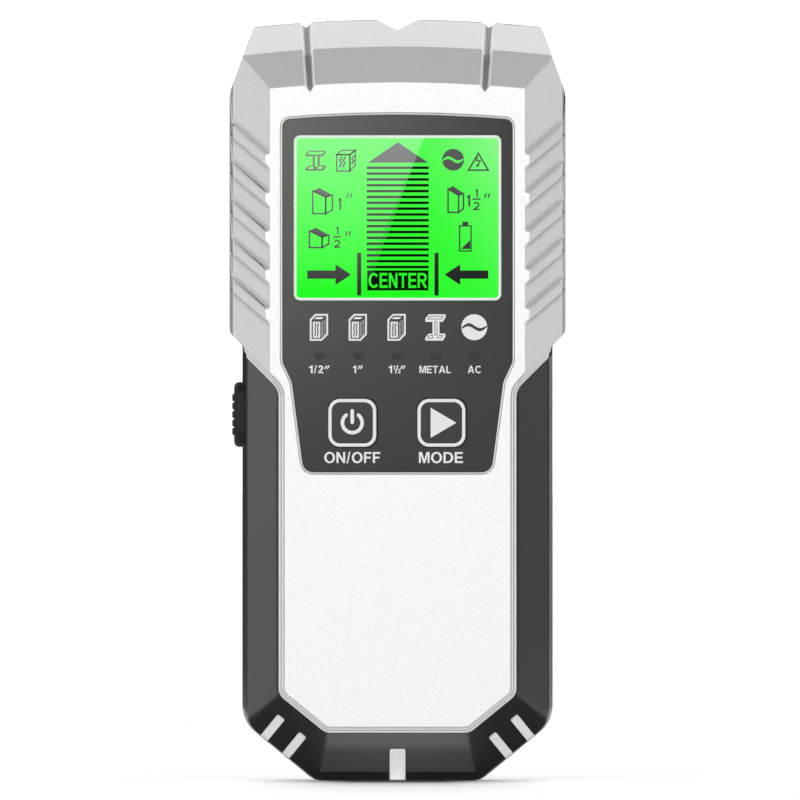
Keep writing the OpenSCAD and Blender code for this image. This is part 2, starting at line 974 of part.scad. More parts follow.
module crystal() {
    color("silver")
        translate([-14, 0, body_h - 35])
            plate(rectangle(11, 4.6, 2.2), y_board_back, y_board_back + 3.5);
}

module capacitors() {
    color("#26304a")
        for (x = [-16, -9.5, 16]) bar([x, body_h - 66], 2.5, y_board_back, y_board_back + 5.4);
}

module smd_parts() {
    color("#c8b890")
        for (x = [-18 : 6 : 18], k = [0, 1])
            block([x, body_h - 53.5 + 32 * k], 1.6, 0.8, y_board_back, y_board_back + 0.6);
}

module buzzer() {
    color("#141414")
        difference() {
            bar([13, body_h - 80], 6, y_board_back, y_board_back + 6.5);
            bar([13, body_h - 80], 1, y_board_back + 5, y_board_back + 7);
        }
}

// ---- Battery and its leads ----

terminal_x = 6.35;
battery_top_z = bay_z + battery_h - terminal_h;
module battery() {
    color("silver")
        translate([0, battery_y, bay_z])
            linear_extrude(battery_top_z - bay_z)
                polygon(rounded(rectangle(battery_w, battery_t, 2.5)));
}

module battery_terminals() {
    color("silver")
        translate([0, battery_y, battery_top_z]) {
            translate([terminal_x, 0, 0]) cylinder(r = 2.9, h = terminal_h);
            translate([-terminal_x, 0, 0])
                difference() {
                    cylinder(r = 4.3, h = terminal_h);
                    translate([0, 0, 0.4]) cylinder(r = 3.1, h = terminal_h);
                }
        }
}

cap_z = battery_top_z + terminal_h + 0.1;
module snap_cap() {
    color("#1a1a1a")
        translate([0, battery_y, cap_z])
            linear_extrude(cap_t)
                polygon(rounded(rectangle(23, 11, 4)));
}

module snap_contacts() {
    color("gold")
        translate([0, battery_y, 0]) {
            translate([terminal_x, 0, battery_top_z + 0.4])
                difference() {
                    cylinder(r = 3.9, h = cap_z - battery_top_z - 0.4);
                    translate([0, 0, -1]) cylinder(r = 3, h = 9);
                }
            translate([-terminal_x, 0, battery_top_z + 0.6])
                cylinder(r = 3, h = cap_z - battery_top_z - 0.6);
        }
}

// A lead as a tube swept along a smooth curve, from the snap cap to the back of the main board.
// The curve's pull at a point is as long as the way to its nearer neighbour, so it never swings back
lead_r = 0.7;
function pull(points, i) =
    let (
        a = points[max(i - 1, 0)],
        b = points[i],
        c = points[min(i + 1, len(points) - 1)],
        way = min([for (d = [norm(b - a), norm(c - b)]) if (d > 0) d])
    )
    unit(c - a) * way;
function bent(points, n = 6) = [
    for (k = [0 : n * (len(points) - 1)])
        let (
            i = min(floor(k / n), len(points) - 2),
            f = k / n - i,
            ease = (3 - 2 * f) * f * f
        )
        (1 - ease) * points[i] + ease * points[i + 1]
            + f * (1 - f) * ((1 - f) * pull(points, i) - f * pull(points, i + 1))
];

module lead(x) {
    start = cap_z + cap_t;
    path = bent([
        [battery_y, start],
        [battery_y + 1, bay_top_z + bay_t / 2],
        [battery_y + 1, board_bottom_z + 1],
        [battery_y, board_bottom_z + 4],
        [y_board_back, board_bottom_z + 5]
    ]);
    last = len(path) - 1;
    sides = 8;
    rings = [
        for (k = [0 : last])
            let (
                way = k == 0 ? [0, 1] : k == last ? [-1, 0] : unit(path[k + 1] - path[k - 1])
            )
            [for (j = [0 : sides - 1])
                let (c = lead_r * cos(j * 45), s = lead_r * sin(j * 45))
                [x + c, path[k].x - way.y * s, path[k].y + way.x * s]]
    ];
    polyhedron(
        [for (ring = rings) each ring],
        concat(
            [[for (j = [0 : sides - 1]) j]],
            [for (k = [0 : last - 1], j = [0 : sides - 1])
                [k * sides + j, (k + 1) * sides + j, (k + 1) * sides + (j + 1) % sides,
                    k * sides + (j + 1) % sides]],
            [[for (j = [sides - 1 : -1 : 0]) last * sides + j]]
        )
    );
}

module red_lead() {
    color("red") lead(3);
}

module black_lead() {
    color("black") lead(-3);
}

front_shell();
rear_shell();
grip_overmould();
panel_overlay();
window_lens();
power_key();
mode_key();
scan_button();
battery_door();
door_foam();
glide_pads();
case_screws();
main_board();
main_board_screws();
sensor_board();
sensor_board_screws();
sensor_plates();
metal_coil();
board_header();
lcd_gasket();
lcd_glass();
lcd_guide();
lcd_frame();
lcd_connector();
backlight_leds();
indicator_leds();
light_pipes();
key_switches();
power_plunger();
mode_plunger();
scan_switch();
scan_plunger();
controller_chip();
amplifier_chips();
regulator();
crystal();
capacitors();
smd_parts();
buzzer();
battery();
battery_terminals();
snap_cap();
snap_contacts();
red_lead();
black_lead();
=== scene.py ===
import math

import bmesh
import bpy
from mathutils import Matrix, Vector
from mathutils.geometry import tessellate_polygon


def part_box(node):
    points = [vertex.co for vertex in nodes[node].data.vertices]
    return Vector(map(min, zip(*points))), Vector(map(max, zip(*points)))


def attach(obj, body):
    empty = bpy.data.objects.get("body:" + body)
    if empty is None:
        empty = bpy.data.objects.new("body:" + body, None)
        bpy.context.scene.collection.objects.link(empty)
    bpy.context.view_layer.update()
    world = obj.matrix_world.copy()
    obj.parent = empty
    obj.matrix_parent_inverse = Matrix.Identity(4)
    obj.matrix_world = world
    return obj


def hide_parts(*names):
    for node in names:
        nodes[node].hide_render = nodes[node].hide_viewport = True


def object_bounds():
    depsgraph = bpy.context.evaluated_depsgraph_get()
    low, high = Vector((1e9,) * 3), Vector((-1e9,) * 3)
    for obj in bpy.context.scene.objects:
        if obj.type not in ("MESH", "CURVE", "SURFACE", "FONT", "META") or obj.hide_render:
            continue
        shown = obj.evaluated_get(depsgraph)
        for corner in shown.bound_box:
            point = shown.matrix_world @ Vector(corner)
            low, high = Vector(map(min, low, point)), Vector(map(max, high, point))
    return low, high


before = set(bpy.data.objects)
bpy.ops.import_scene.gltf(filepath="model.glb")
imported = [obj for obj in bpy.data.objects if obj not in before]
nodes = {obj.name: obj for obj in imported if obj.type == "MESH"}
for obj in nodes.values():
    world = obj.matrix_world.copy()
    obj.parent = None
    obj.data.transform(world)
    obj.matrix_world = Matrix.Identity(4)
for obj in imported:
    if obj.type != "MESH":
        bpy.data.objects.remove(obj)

cad_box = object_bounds()
MM = 0.001


# ---- Places worked out from the construction, in mm ----

def box_mm(node):
    """The lowest and highest corner of a CAD node in mm."""
    low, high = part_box(node)
    return low / MM, high / MM


face_y = cad_box[0].y / MM
head_top = cad_box[1].z / MM
panel_low, panel_high = box_mm("panel_overlay")
window_low, window_high = box_mm("window_lens")
power_low, power_high = box_mm("power_key")
mode_low, mode_high = box_mm("mode_key")
scan_low, scan_high = box_mm("scan_button")
pipes_low, pipes_high = box_mm("light_pipes")
grip_high = box_mm("grip_overmould")[1]
coil_low, coil_high = box_mm("metal_coil")
battery_top = box_mm("battery")[1].z

panel_y = panel_low.y
window_z = (window_low.z + window_high.z) / 2
key_z = (power_low.z + power_high.z) / 2
power_x = (power_low.x + power_high.x) / 2
mode_x = (mode_low.x + mode_high.x) / 2
scan_y = (scan_low.y + scan_high.y) / 2
scan_z = (scan_low.z + scan_high.z) / 2
# The light pipes' round ends stand in a row of five
led_z = (pipes_low.z + pipes_high.z) / 2
led_pitch = (pipes_high.x - pipes_low.x - (pipes_high.z - pipes_low.z)) / 4


# ---- Shader helpers ----

def hex_colour(text):
    """An sRGB hex colour as the linear RGBA that shaders use."""
    channels = [int(text[i:i + 2], 16) / 255 for i in (0, 2, 4)]
    return (*[c / 12.92 if c <= 0.04045 else ((c + 0.055) / 1.055) ** 2.4 for c in channels], 1.0)


def set_up(node, settings):
    """Gives a node its settings: properties, values of sockets, links, or a ramp's stops (level, hex colour).

    A link is the output that feeds a socket; a node given there stands for its first output."""
    for key, value in settings.items():
        if isinstance(value, bpy.types.Node):
            value = value.outputs[0]
        if key == "stops":
            ends = node.color_ramp.elements[0], node.color_ramp.elements[1]
            for end, (level, colour) in zip(ends, (value[0], value[-1])):
                end.position, end.color = level, hex_colour(colour)
            for level, colour in value[1:-1]:
                node.color_ramp.elements.new(level).color = hex_colour(colour)
        elif isinstance(key, str) and hasattr(node, key):
            setattr(node, key, value)
        elif isinstance(value, bpy.types.NodeSocket):
            node.id_data.links.new(value, node.inputs[key])
        else:
            node.inputs[key].default_value = value
    return node


def add_node(tree, kind, settings):
    """Adds a node with its settings."""
    return set_up(tree.nodes.new(kind), settings)


def new_material(name, settings, kind="ShaderNodeBsdfPrincipled"):
    """A material with one shader: returns it, its tree, the shader and the place on the piece in metres."""
    material = bpy.data.materials.new(name)
    material.use_nodes = True
    tree = material.node_tree
    tree.nodes.clear()
    shader = add_node(tree, kind, settings)
    add_node(tree, "ShaderNodeOutputMaterial", {"Surface": shader})
    place = add_node(tree, "ShaderNodeTexCoord", {}).outputs["Object"]
    return material, tree, shader, place


def moulded(name, dark, light, size, depth, roughness, detail=2.0, metallic=0.0, specular=0.5, sheen=0.0):
    """A surface with a fine mottled grain: grain size and depth in mm, between two hex colours."""
    material, tree, shader, place = new_material(name, {
        "Metallic": metallic, "Roughness": roughness, "Specular IOR Level": specular, "Sheen Weight": sheen})
    grain = add_node(tree, "ShaderNodeTexNoise", {
        "Vector": place, "Scale": 1 / (size * MM), "Detail": detail})
    colour = add_node(tree, "ShaderNodeValToRGB", {"Fac": grain, "stops": [(0.3, dark), (0.7, light)]})
    set_up(shader, {"Base Color": colour})
    if depth:
        bump = add_node(tree, "ShaderNodeBump", {"Height": grain, "Distance": depth * MM})
        set_up(shader, {"Normal": bump})
    return material


# ---- Materials ----

# Silver lacquer sprayed on ABS: a pale metallic coat whose 0.4 mm flakes give a faint sparkle
silver_lacquer, tree, shader, place = new_material("silver lacquer on moulded ABS", {
    "Metallic": 0.68, "Roughness": 0.38})
flakes = add_node(tree, "ShaderNodeTexNoise", {"Vector": place, "Scale": 1 / (0.4 * MM), "Detail": 3.0})
colour = add_node(tree, "ShaderNodeValToRGB", {"Fac": flakes, "stops": [(0.3, "eeeeef"), (0.7, "f9f9fa")]})
bump = add_node(tree, "ShaderNodeBump", {"Height": flakes, "Distance": 0.006 * MM})
# Painted shade: ambient occlusion darkens the lacquer's colour in grooves and at the foot of steps, which
# draws them as darker lines
crease = add_node(tree, "ShaderNodeAmbientOcclusion", {
    "samples": 8, "only_local": True, "Distance": 1.5 * MM})
painted_crease_shade = add_node(tree, "ShaderNodeMapRange", {
    "Value": crease.outputs["AO"], "From Min": 0.8, "From Max": 0.98, "To Min": 0.32})
coat = add_node(tree, "ShaderNodeVectorMath", {"operation": "SCALE", 0: colour, "Scale": painted_crease_shade})
set_up(shader, {"Base Color": coat, "Normal": bump})

# Soft-touch TPE moulded over the grip: near black, satin, with a 0.3 mm spark-eroded texture
grip_rubber = moulded("charcoal TPE overmould", "141415", "18181a", 0.3, 0.004, 0.27, specular=0.12)
# The side button's silicone: blacker and softer than the grip
button_rubber = moulded("black silicone button", "111112", "161617", 0.3, 0.008, 0.45, specular=0.3)
# Spark-eroded ABS of the rear shell and door: dark, matt, with a clear grain
charcoal_abs = moulded("charcoal textured ABS", "303133", "393a3c", 0.5, 0.03, 0.52, 3.0)


def overlay_print(name, smoked=False):
    """The panel overlay's print, with a painted reflection that lightens it towards the upper left; a smoky
    patch of it has painted shade that makes it darkest at its lower edge.
    """
    material, tree, shader, place = new_material(name, {"Roughness": 0.36})
    parts = add_node(tree, "ShaderNodeSeparateXYZ", {"Vector": place}).outputs
    across = add_node(tree, "ShaderNodeMapRange", {
        "Value": parts["X"], "From Min": panel_high.x * MM, "From Max": panel_low.x * MM})
    upward = add_node(tree, "ShaderNodeMapRange", {
        "Value": parts["Z"], "From Min": panel_low.z * MM, "From Max": panel_high.z * MM})
    # Painted reflection: the colour is lightened towards the upper left of the panel
    painted_reflection_fade = add_node(tree, "ShaderNodeMath", {"operation": "MULTIPLY", 0: across, 1: upward})
    grain = add_node(tree, "ShaderNodeTexNoise", {"Vector": place, "Scale": 1 / (0.5 * MM), "Detail": 2.0})
    tone = add_node(tree, "ShaderNodeMath", {"operation": "MULTIPLY_ADD", 0: grain, 1: 0.06, 2: painted_reflection_fade})
    colour = add_node(tree, "ShaderNodeValToRGB", {"Fac": tone, "stops": [(0.0, "1b1b1a"), (1.0, "60605d")]})
    bump = add_node(tree, "ShaderNodeBump", {"Height": grain, "Distance": 0.003 * MM})
    if smoked:
        # Painted shade: the spot darkens towards its lower edge, as a recess would be shaded
        painted_recess_shade = add_node(tree, "ShaderNodeMapRange", {
            "Value": parts["Z"], "From Min": (led_z - 1.1) * MM, "From Max": (led_z + 0.9) * MM,
            "To Min": 0.08})
        colour = add_node(tree, "ShaderNodeVectorMath", {"operation": "SCALE", 0: colour, "Scale": painted_recess_shade})
    set_up(shader, {"Base Color": colour, "Normal": bump})
    return material


# Polycarbonate overlay printed on its back: charcoal under a satin film, with a painted reflection that makes
# it a little lighter to the upper left
panel_print = overlay_print("back-printed polycarbonate overlay")
# Over each indicator lamp the print is smoky: a soft dark spot, with painted shade that makes it darkest at
# its lower edge
smoky_print_with_painted_shade = overlay_print("smoked overlay over a lamp", True)

# Screen inks on the overlay: flat white and grey with the slight unevenness of a screen print
white_ink = moulded("white screen print", "e9e9e9", "f2f2f2", 0.25, 0.0, 0.45)
grey_ink = moulded("grey screen print", "8e8e8e", "9a9a9a", 0.25, 0.0, 0.45)
# A dark line printed inside the trim as painted shade along the panel's edge, a shade darker than the overlay
edge_shade_ink = moulded("black screen print", "1c1c19", "242421", 0.25, 0.0, 0.45)
# Bright trim round the panel, hot-stamped foil on a moulded bead: sharp highlights along its edge
trim_foil = moulded("satin foil trim", "cacac3", "d6d6d0", 0.3, 0.0, 0.3, metallic=0.8)
# The paint round the window's edge: an even, slightly green white
window_paint = moulded("white window border paint", "eef2ee", "f4f7f4", 0.3, 0.0, 0.4)


def display_layer(name, colour, strength=1.0):
    """A layer of the lit display under its hard-coated window, which reflects the studio sharply."""
    return new_material(name, {
        "Base Color": hex_colour(colour), "Specular IOR Level": 0.0,
        "Coat Weight": 1.0, "Coat Roughness": 0.0, "Emission Strength": strength})


# Lit liquid crystal: an even green from the backlight, paler near its lamps at the top
display_green, tree, shader, place = display_layer("backlit liquid crystal display", "020a02")
parts = add_node(tree, "ShaderNodeSeparateXYZ", {"Vector": place}).outputs
upward = add_node(tree, "ShaderNodeMapRange", {
    "Value": parts["Z"], "From Min": window_low.z * MM, "From Max": window_high.z * MM, "To Max": 0.62})
outward = add_node(tree, "ShaderNodeMapRange", {
    "Value": parts["X"], "From Min": 4 * MM, "From Max": window_high.x * MM, "To Max": 0.38})
glow = add_node(tree, "ShaderNodeMath", {"operation": "ADD", 0: upward, 1: outward})
cloud = add_node(tree, "ShaderNodeTexNoise", {"Vector": place, "Scale": 1 / (9 * MM), "Detail": 1.0})
cloudy_glow = add_node(tree, "ShaderNodeMath", {"operation": "MULTIPLY_ADD", 0: cloud, 1: 0.04, 2: glow})
colour = add_node(tree, "ShaderNodeValToRGB", {
    "Fac": cloudy_glow, "stops": [(0.0, "20ff20"), (0.4, "3cff3c"), (0.7, "5eff5e"), (1.0, "8cff8c")]})
set_up(shader, {"Emission Color": colour})

# Black liquid crystal bars: they pass a little of the green
display_dark, tree, shader, place = display_layer("black liquid crystal bars", "020402", 0.6)
cloud = add_node(tree, "ShaderNodeTexNoise", {"Vector": place, "Scale": 1 / (6 * MM), "Detail": 1.0})
colour = add_node(tree, "ShaderNodeValToRGB", {"Fac": cloud, "stops": [(0.3, "020402"), (0.7, "050805")]})
set_up(shader, {"Base Color": colour, "Emission Color": hex_colour("031c03")})

# Grey liquid crystal symbols: thinner than the bars, so that more of the light gets through near the lamps
display_grey, tree, shader, place = display_layer("grey liquid crystal symbols", "040404")
parts = add_node(tree, "ShaderNodeSeparateXYZ", {"Vector": place}).outputs
height = add_node(tree, "ShaderNodeMapRange", {
    "Value": parts["Z"], "From Min": window_low.z * MM, "From Max": window_high.z * MM})
colour = add_node(tree, "ShaderNodeValToRGB", {"Fac": height, "stops": [(0.1, "1f2220"), (0.95, "5e615e")]})
set_up(shader, {"Emission Color": colour})

# Insides, seen with the door open or the shells apart.
# Plastics: light pipes near black and glossy, a frosted pale guide, satin frames, foam that is matt and open
smoky_acrylic = moulded("smoky moulded acrylic", "191919", "202020", 0.6, 0.0, 0.3)
light_guide = moulded("frosted acrylic light guide", "dfe8df", "eef4ee", 0.4, 0.02, 0.4)
bezel = moulded("white moulded display frame", "d8d8d4", "e4e4e0", 0.5, 0.01, 0.45)
acetal = moulded("white moulded acetal", "dfdfdb", "ebebe8", 0.5, 0.01, 0.35)
nylon = moulded("black glass-filled nylon", "1e1f20", "2a2b2c", 0.35, 0.02, 0.5)
foam = moulded("closed-cell polyethylene foam", "1c1d1e", "2c2d2e", 0.7, 0.15, 0.9, 4.0)
# The glides' felt: a dull grey nap that catches light at its edges
felt = moulded("pressed grey felt", "4b4c4e", "6b6c6e", 0.25, 0.12, 0.95, 5.0, sheen=0.4)
# Plated metals: bluish zinc on the screws, warmer nickel on the springs, duller tin on the sensor plates
screw_steel = moulded("zinc-plated screw steel", "a9abad", "c3c5c7", 0.4, 0.01, 0.32, metallic=1.0)
nickel = moulded("nickel-plated spring steel", "b5b3ad", "cfcdc8", 0.5, 0.01, 0.26, metallic=1.0)
tin = moulded("tinned copper plate", "b9babb", "d0d1d2", 0.6, 0.01, 0.35, metallic=1.0)
# Parts on the boards: matt black chips, chalky tan ceramic, shiny dark sleeves, lamps under yellow resin
epoxy = moulded("black moulded epoxy", "19191a", "222324", 0.2, 0.01, 0.55)
ceramic = moulded("tan fired ceramic", "a98f68", "c2a97f", 0.3, 0.01, 0.5)
sleeve = moulded("dark shrink sleeve", "1c2430", "252f3d", 0.6, 0.0, 0.3)
lamp_resin = moulded("yellow phosphor resin", "d8cf8a", "e6de9c", 0.4, 0.0, 0.35)
# The display's glass: an almost mirror-smooth grey-green film
polariser = moulded("polarising film on glass", "4e5a50", "57645a", 2.0, 0.0, 0.08)
# The battery's leads: slightly waxy insulation
red_pvc = moulded("red PVC insulation", "a8191b", "bb2224", 0.5, 0.01, 0.35)
black_pvc = moulded("black PVC insulation", "161617", "202021", 0.5, 0.01, 0.35)

# Solder mask over copper tracks on glass-epoxy board: green, with lighter tracks 0.9 mm apart
board_mask, tree, shader, place = new_material("green solder mask on FR4", {"Roughness": 0.35})
tracks = add_node(tree, "ShaderNodeTexBrick", {
    "Vector": place, "Scale": 1 / (3.6 * MM), "Color1": (1, 1, 1, 1), "Color2": (0.8, 0.8, 0.8, 1),
    "Mortar": (0, 0, 0, 1), "Mortar Size": 0.09})
colour = add_node(tree, "ShaderNodeValToRGB", {"Fac": tracks, "stops": [(0.3, "2e7a45"), (0.7, "17542b")]})
bump = add_node(tree, "ShaderNodeBump", {"Height": tracks.outputs["Fac"], "Distance": 0.03 * MM})
set_up(shader, {"Base Color": colour, "Normal": bump})

# How far apart a wave texture's waves are at a scale of 1
WAVE = 0.314

# Enamelled copper wire wound round the coil's middle: turns 0.4 mm apart, drawn coarse enough to show
winding, tree, shader, place = new_material("enamelled copper winding", {"Metallic": 1.0, "Roughness": 0.3})
from_middle = add_node(tree, "ShaderNodeVectorMath", {
    "operation": "SUBTRACT", 0: place, 1: (0.0, 0.0, (coil_low.z + coil_high.z) / 2 * MM)})
turns = add_node(tree, "ShaderNodeTexWave", {
    "Vector": from_middle, "wave_type": "RINGS", "rings_direction": "Y", "Scale": WAVE / (0.4 * MM),
    "Distortion": 0.0})
colour = add_node(tree, "ShaderNodeValToRGB", {
    "Fac": turns.outputs["Fac"], "stops": [(0.0, "7c3c1c"), (1.0, "d07f4a")]})
bump = add_node(tree, "ShaderNodeBump", {"Height": turns.outputs["Fac"], "Distance": 0.08 * MM})
set_up(shader, {"Base Color": colour, "Normal": bump})

# The display's rubber connector: pink plain rubber and black conducting rubber in stripes 0.5 mm apart
striped_rubber, tree, shader, place = new_material("layered conducting rubber", {"Roughness": 0.6})
layers = add_node(tree, "ShaderNodeTexWave", {
    "Vector": place, "bands_direction": "X", "Scale": WAVE / (0.5 * MM)})
colour = add_node(tree, "ShaderNodeValToRGB", {
    "Fac": layers.outputs["Fac"], "stops": [(0.45, "202021"), (0.55, "c08f86")]})
set_up(shader, {"Base Color": colour})

# The battery's jacket: a plain printed steel sleeve, green below and bright steel above
jacket, tree, shader, place = new_material("printed steel battery jacket", {
    "Metallic": 0.85, "Roughness": 0.3})
parts = add_node(tree, "ShaderNodeSeparateXYZ", {"Vector": place}).outputs
band = add_node(tree, "ShaderNodeMapRange", {
    "Value": parts["Z"], "From Min": (battery_top - 13.2) * MM, "From Max": (battery_top - 13) * MM})
rub = add_node(tree, "ShaderNodeTexNoise", {"Vector": place, "Scale": 1 / (2.5 * MM), "Detail": 4.0})
worn_band = add_node(tree, "ShaderNodeMath", {"operation": "MULTIPLY_ADD", 0: rub, 1: 0.08, 2: band})
colour = add_node(tree, "ShaderNodeValToRGB", {
    "Fac": worn_band, "stops": [(0.04, "2a5d46"), (1.0, "c4c6c8")]})
set_up(shader, {"Base Color": colour})


# ---- CAD nodes: materials and softened edges ----

# Vertices closer than this, in metres, are one
WELD = 2e-6


def shape_group(name):
    """A new geometry node group, and the node that hands it the shape it works on."""
    group = bpy.data.node_groups.new(name, "GeometryNodeTree")
    for way in ("INPUT", "OUTPUT"):
        group.interface.new_socket("Geometry", in_out=way, socket_type="NodeSocketGeometry")
    return group, add_node(group, "NodeGroupInput", {})


def smooth_shading():
    """A geometry node group that shades every face smooth."""
    group, start = shape_group("smooth shading")
    smooth = add_node(group, "GeometryNodeSetShadeSmooth", {"Geometry": start})
    add_node(group, "NodeGroupOutput", {"Geometry": smooth})
    return group


smooth_group = smooth_shading()


def dress(name, material, edge):
    """Gives a CAD node its material and softens its edges by a width in mm."""
    node = nodes[name]
    node.data.materials.clear()
    node.data.materials.append(material)
    weld = node.modifiers.new("weld", "WELD")
    weld.merge_threshold = WELD
    flat = node.modifiers.new("flat", "DECIMATE")
    flat.decimate_type = "DISSOLVE"
    flat.angle_limit = math.radians(0.6)
    if edge:
        shade = node.modifiers.new("shade", "NODES")
        shade.node_group = smooth_group
        bevel = node.modifiers.new("edges", "BEVEL")
        bevel.width = edge * MM
        bevel.segments = 2
        bevel.limit_method = "ANGLE"
        bevel.angle_limit = math.radians(20)
        bevel.use_clamp_overlap = False
        bevel.miter_outer = "MITER_SHARP"
        level = node.modifiers.new("level", "WEIGHTED_NORMAL")
        level.weight = 100


# The head's rounded top, and where its two index grooves cross it and how deep they are
crown_r = 300
groove_x = 20
groove_deep = 1.15


def index_notches():
    """A geometry node group that carries the front shell's two index grooves on over the rear shell's top."""
    group, start = shape_group("index notches")
    # A three-sided wedge with an edge downwards, stretched to the grooves' width and through the rear shell
    wedge_r, wedge_wide, wedge_long = 2.4, 1.9, 12
    wedge_y = grip_high.y + 5.5
    wedge = add_node(group, "GeometryNodeMeshCylinder", {
        "Vertices": 3, "Radius": wedge_r * MM, "Depth": wedge_long * MM})
    both = add_node(group, "GeometryNodeJoinGeometry", {})
    reach = crown_r - groove_deep + wedge_r
    for side in (-1, 1):
        lean = side * math.asin(groove_x / crown_r)
        cutter = add_node(group, "GeometryNodeTransform", {
            "Geometry": wedge, "Scale": (1, wedge_wide, 1),
            "Rotation": (math.pi / 2, math.pi / 2 + lean, 0),
            "Translation": (math.sin(lean) * reach * MM, wedge_y * MM,
                            (head_top - crown_r + math.cos(lean) * reach) * MM)})
        set_up(both, {"Geometry": cutter})
    notched = add_node(group, "GeometryNodeMeshBoolean", {
        "operation": "DIFFERENCE", "solver": "EXACT", 0: start, 1: both})
    add_node(group, "NodeGroupOutput", {"Geometry": notched})
    return group


looks = {
    "front_shell": (silver_lacquer, 0.28), "rear_shell": (charcoal_abs, 0.3),
    "panel_overlay": (panel_print, 0.0), "window_lens": (display_green, 0.1),
    "power_key": (panel_print, 0.15), "mode_key": (panel_print, 0.15),
    "battery_door": (charcoal_abs, 0.2), "door_foam": (foam, 0.4), "glide_pads": (felt, 0.15),
    "case_screws": (screw_steel, 0.1), "main_board_screws": (screw_steel, 0.1),
    "sensor_board_screws": (screw_steel, 0.1), "main_board": (board_mask, 0.0),
    "sensor_board": (board_mask, 0.0), "sensor_plates": (tin, 0.0), "metal_coil": (winding, 0.3),
    "board_header": (nylon, 0.05), "lcd_gasket": (foam, 0.1), "lcd_glass": (polariser, 0.05),
    "lcd_guide": (light_guide, 0.1), "lcd_frame": (bezel, 0.1), "lcd_connector": (striped_rubber, 0.05),
    "backlight_leds": (lamp_resin, 0.05), "indicator_leds": (lamp_resin, 0.05),
    "light_pipes": (smoky_acrylic, 0.1), "key_switches": (nylon, 0.08),
    "power_plunger": (acetal, 0.1), "mode_plunger": (acetal, 0.1), "scan_plunger": (acetal, 0.1),
    "scan_switch": (nylon, 0.08), "controller_chip": (epoxy, 0.05), "amplifier_chips": (epoxy, 0.05),
    "regulator": (epoxy, 0.05), "crystal": (screw_steel, 0.2), "capacitors": (sleeve, 0.15),
    "smd_parts": (ceramic, 0.03), "buzzer": (nylon, 0.15), "battery": (jacket, 0.6),
    "battery_terminals": (nickel, 0.1), "snap_cap": (nylon, 0.2), "snap_contacts": (nickel, 0.1),
    "red_lead": (red_pvc, 0.0), "black_lead": (black_pvc, 0.0),
}
for name, (material, edge) in looks.items():
    dress(name, material, edge)
notch = nodes["rear_shell"].modifiers.new("index notches", "NODES")
notch.node_group = index_notches()
nodes["rear_shell"].modifiers.move(len(nodes["rear_shell"].modifiers) - 1, 1)


# ---- Outlines seen from the front, in mm: lists of (x, z) ----

def turned(points, angle):
    """Outline points turned by an angle in degrees."""
    c, s = math.cos(math.radians(angle)), math.sin(math.radians(angle))
    return [(x * c - z * s, x * s + z * c) for x, z in points]


def moved(points, x0, z0, wide=1.0, high=1.0):
    """Outline points stretched and moved."""
    return [(x0 + x * wide, z0 + z * high) for x, z in points]


def mirrored(points):
    """Outline points seen in a mirror across the middle line."""
    return [(-x, z) for x, z in reversed(points)]


def arc(x0, z0, radius, start, end, steps):
    """Points on an arc between two angles in degrees."""
    return [(x0 + radius * math.cos(math.radians(start + (end - start) * i / steps)),
             z0 + radius * math.sin(math.radians(start + (end - start) * i / steps)))
            for i in range(steps + 1)]


def rounded(corners, steps=8):
    """A closed outline whose corners (x, z, radius) are turned into arcs."""
    outline = []
    for i, (x, z, radius) in enumerate(corners):
        corner = Vector((x, z))
        before = (Vector(corners[i - 1][:2]) - corner).normalized()
        after = (Vector(corners[(i + 1) % len(corners)][:2]) - corner).normalized()
        half = before.angle(after) / 2
        if radius <= 0 or half > math.radians(89.9):
            outline.append((x, z))
            continue
        run = radius / math.tan(half)
        middle = corner + (before + after).normalized() * (radius / math.sin(half))
        start, end = corner + before * run - middle, corner + after * run - middle
        turn = start.angle_signed(end)
        for step in range(steps + 1):
            spoke = Vector(turned([start], -math.degrees(turn) * step / steps)[0])
            outline.append(tuple(middle + spoke))
    return outline


def rectangle(wide, high, radius=0.0, x0=0.0, z0=0.0, steps=8):
    """A rounded rectangle about a middle point."""
    a, b = wide / 2, high / 2
    return rounded([(x0 - a, z0 - b, radius), (x0 + a, z0 - b, radius),
                    (x0 + a, z0 + b, radius), (x0 - a, z0 + b, radius)], steps)


def shrunk(points, distance):
    """A closed outline moved inwards by a distance."""
    area = sum(points[i - 1][0] * p[1] - p[0] * points[i - 1][1] for i, p in enumerate(points))
    side = distance if area > 0 else -distance
    result = []
    for i, p in enumerate(points):
        before = (Vector(p) - Vector(points[i - 1])).normalized()
        after = (Vector(points[(i + 1) % len(points)]) - Vector(p)).normalized()
        mitre = Vector((-before.y - after.y, before.x + after.x)).normalized()
        reach = side / max(0.3, mitre.dot(Vector((-before.y, before.x))))
        result.append((p[0] + mitre.x * reach, p[1] + mitre.y * reach))
    return result


def outlined(points, width):
    """A closed outline drawn as a line of a width: the line's own outline and its hole."""
    return [shrunk(points, -width / 2), shrunk(points, width / 2)]


def stroke(points, width, round_ends=False):
    """The outline of a line of a width along some points."""
    half = width / 2
    left, right = [], []
    for i, p in enumerate(points):
        p = Vector(p)
        before = (p - Vector(points[i - 1])).normalized() if i else None
        after = (Vector(points[i + 1]) - p).normalized() if i + 1 < len(points) else None
        direction = ((before or after) + (after or before)).normalized()
        normal = Vector((-direction.y, direction.x))
        reach = half / max(0.4, normal.dot(Vector((-(before or after).y, (before or after).x))))
        left.append(tuple(p + normal * reach))
        right.append(tuple(p - normal * reach))
    if round_ends:
        first = Vector(points[0]) - Vector(points[1])
        last = Vector(points[-1]) - Vector(points[-2])
        start = math.degrees(math.atan2(first.y, first.x))
        end = math.degrees(math.atan2(last.y, last.x))
        tail = arc(*points[-1], half, end + 90, end - 90, 8)[1:-1]
        head = arc(*points[0], half, start + 90, start - 90, 8)[1:-1]
        return left + tail + right[::-1] + head
    return left + right[::-1]


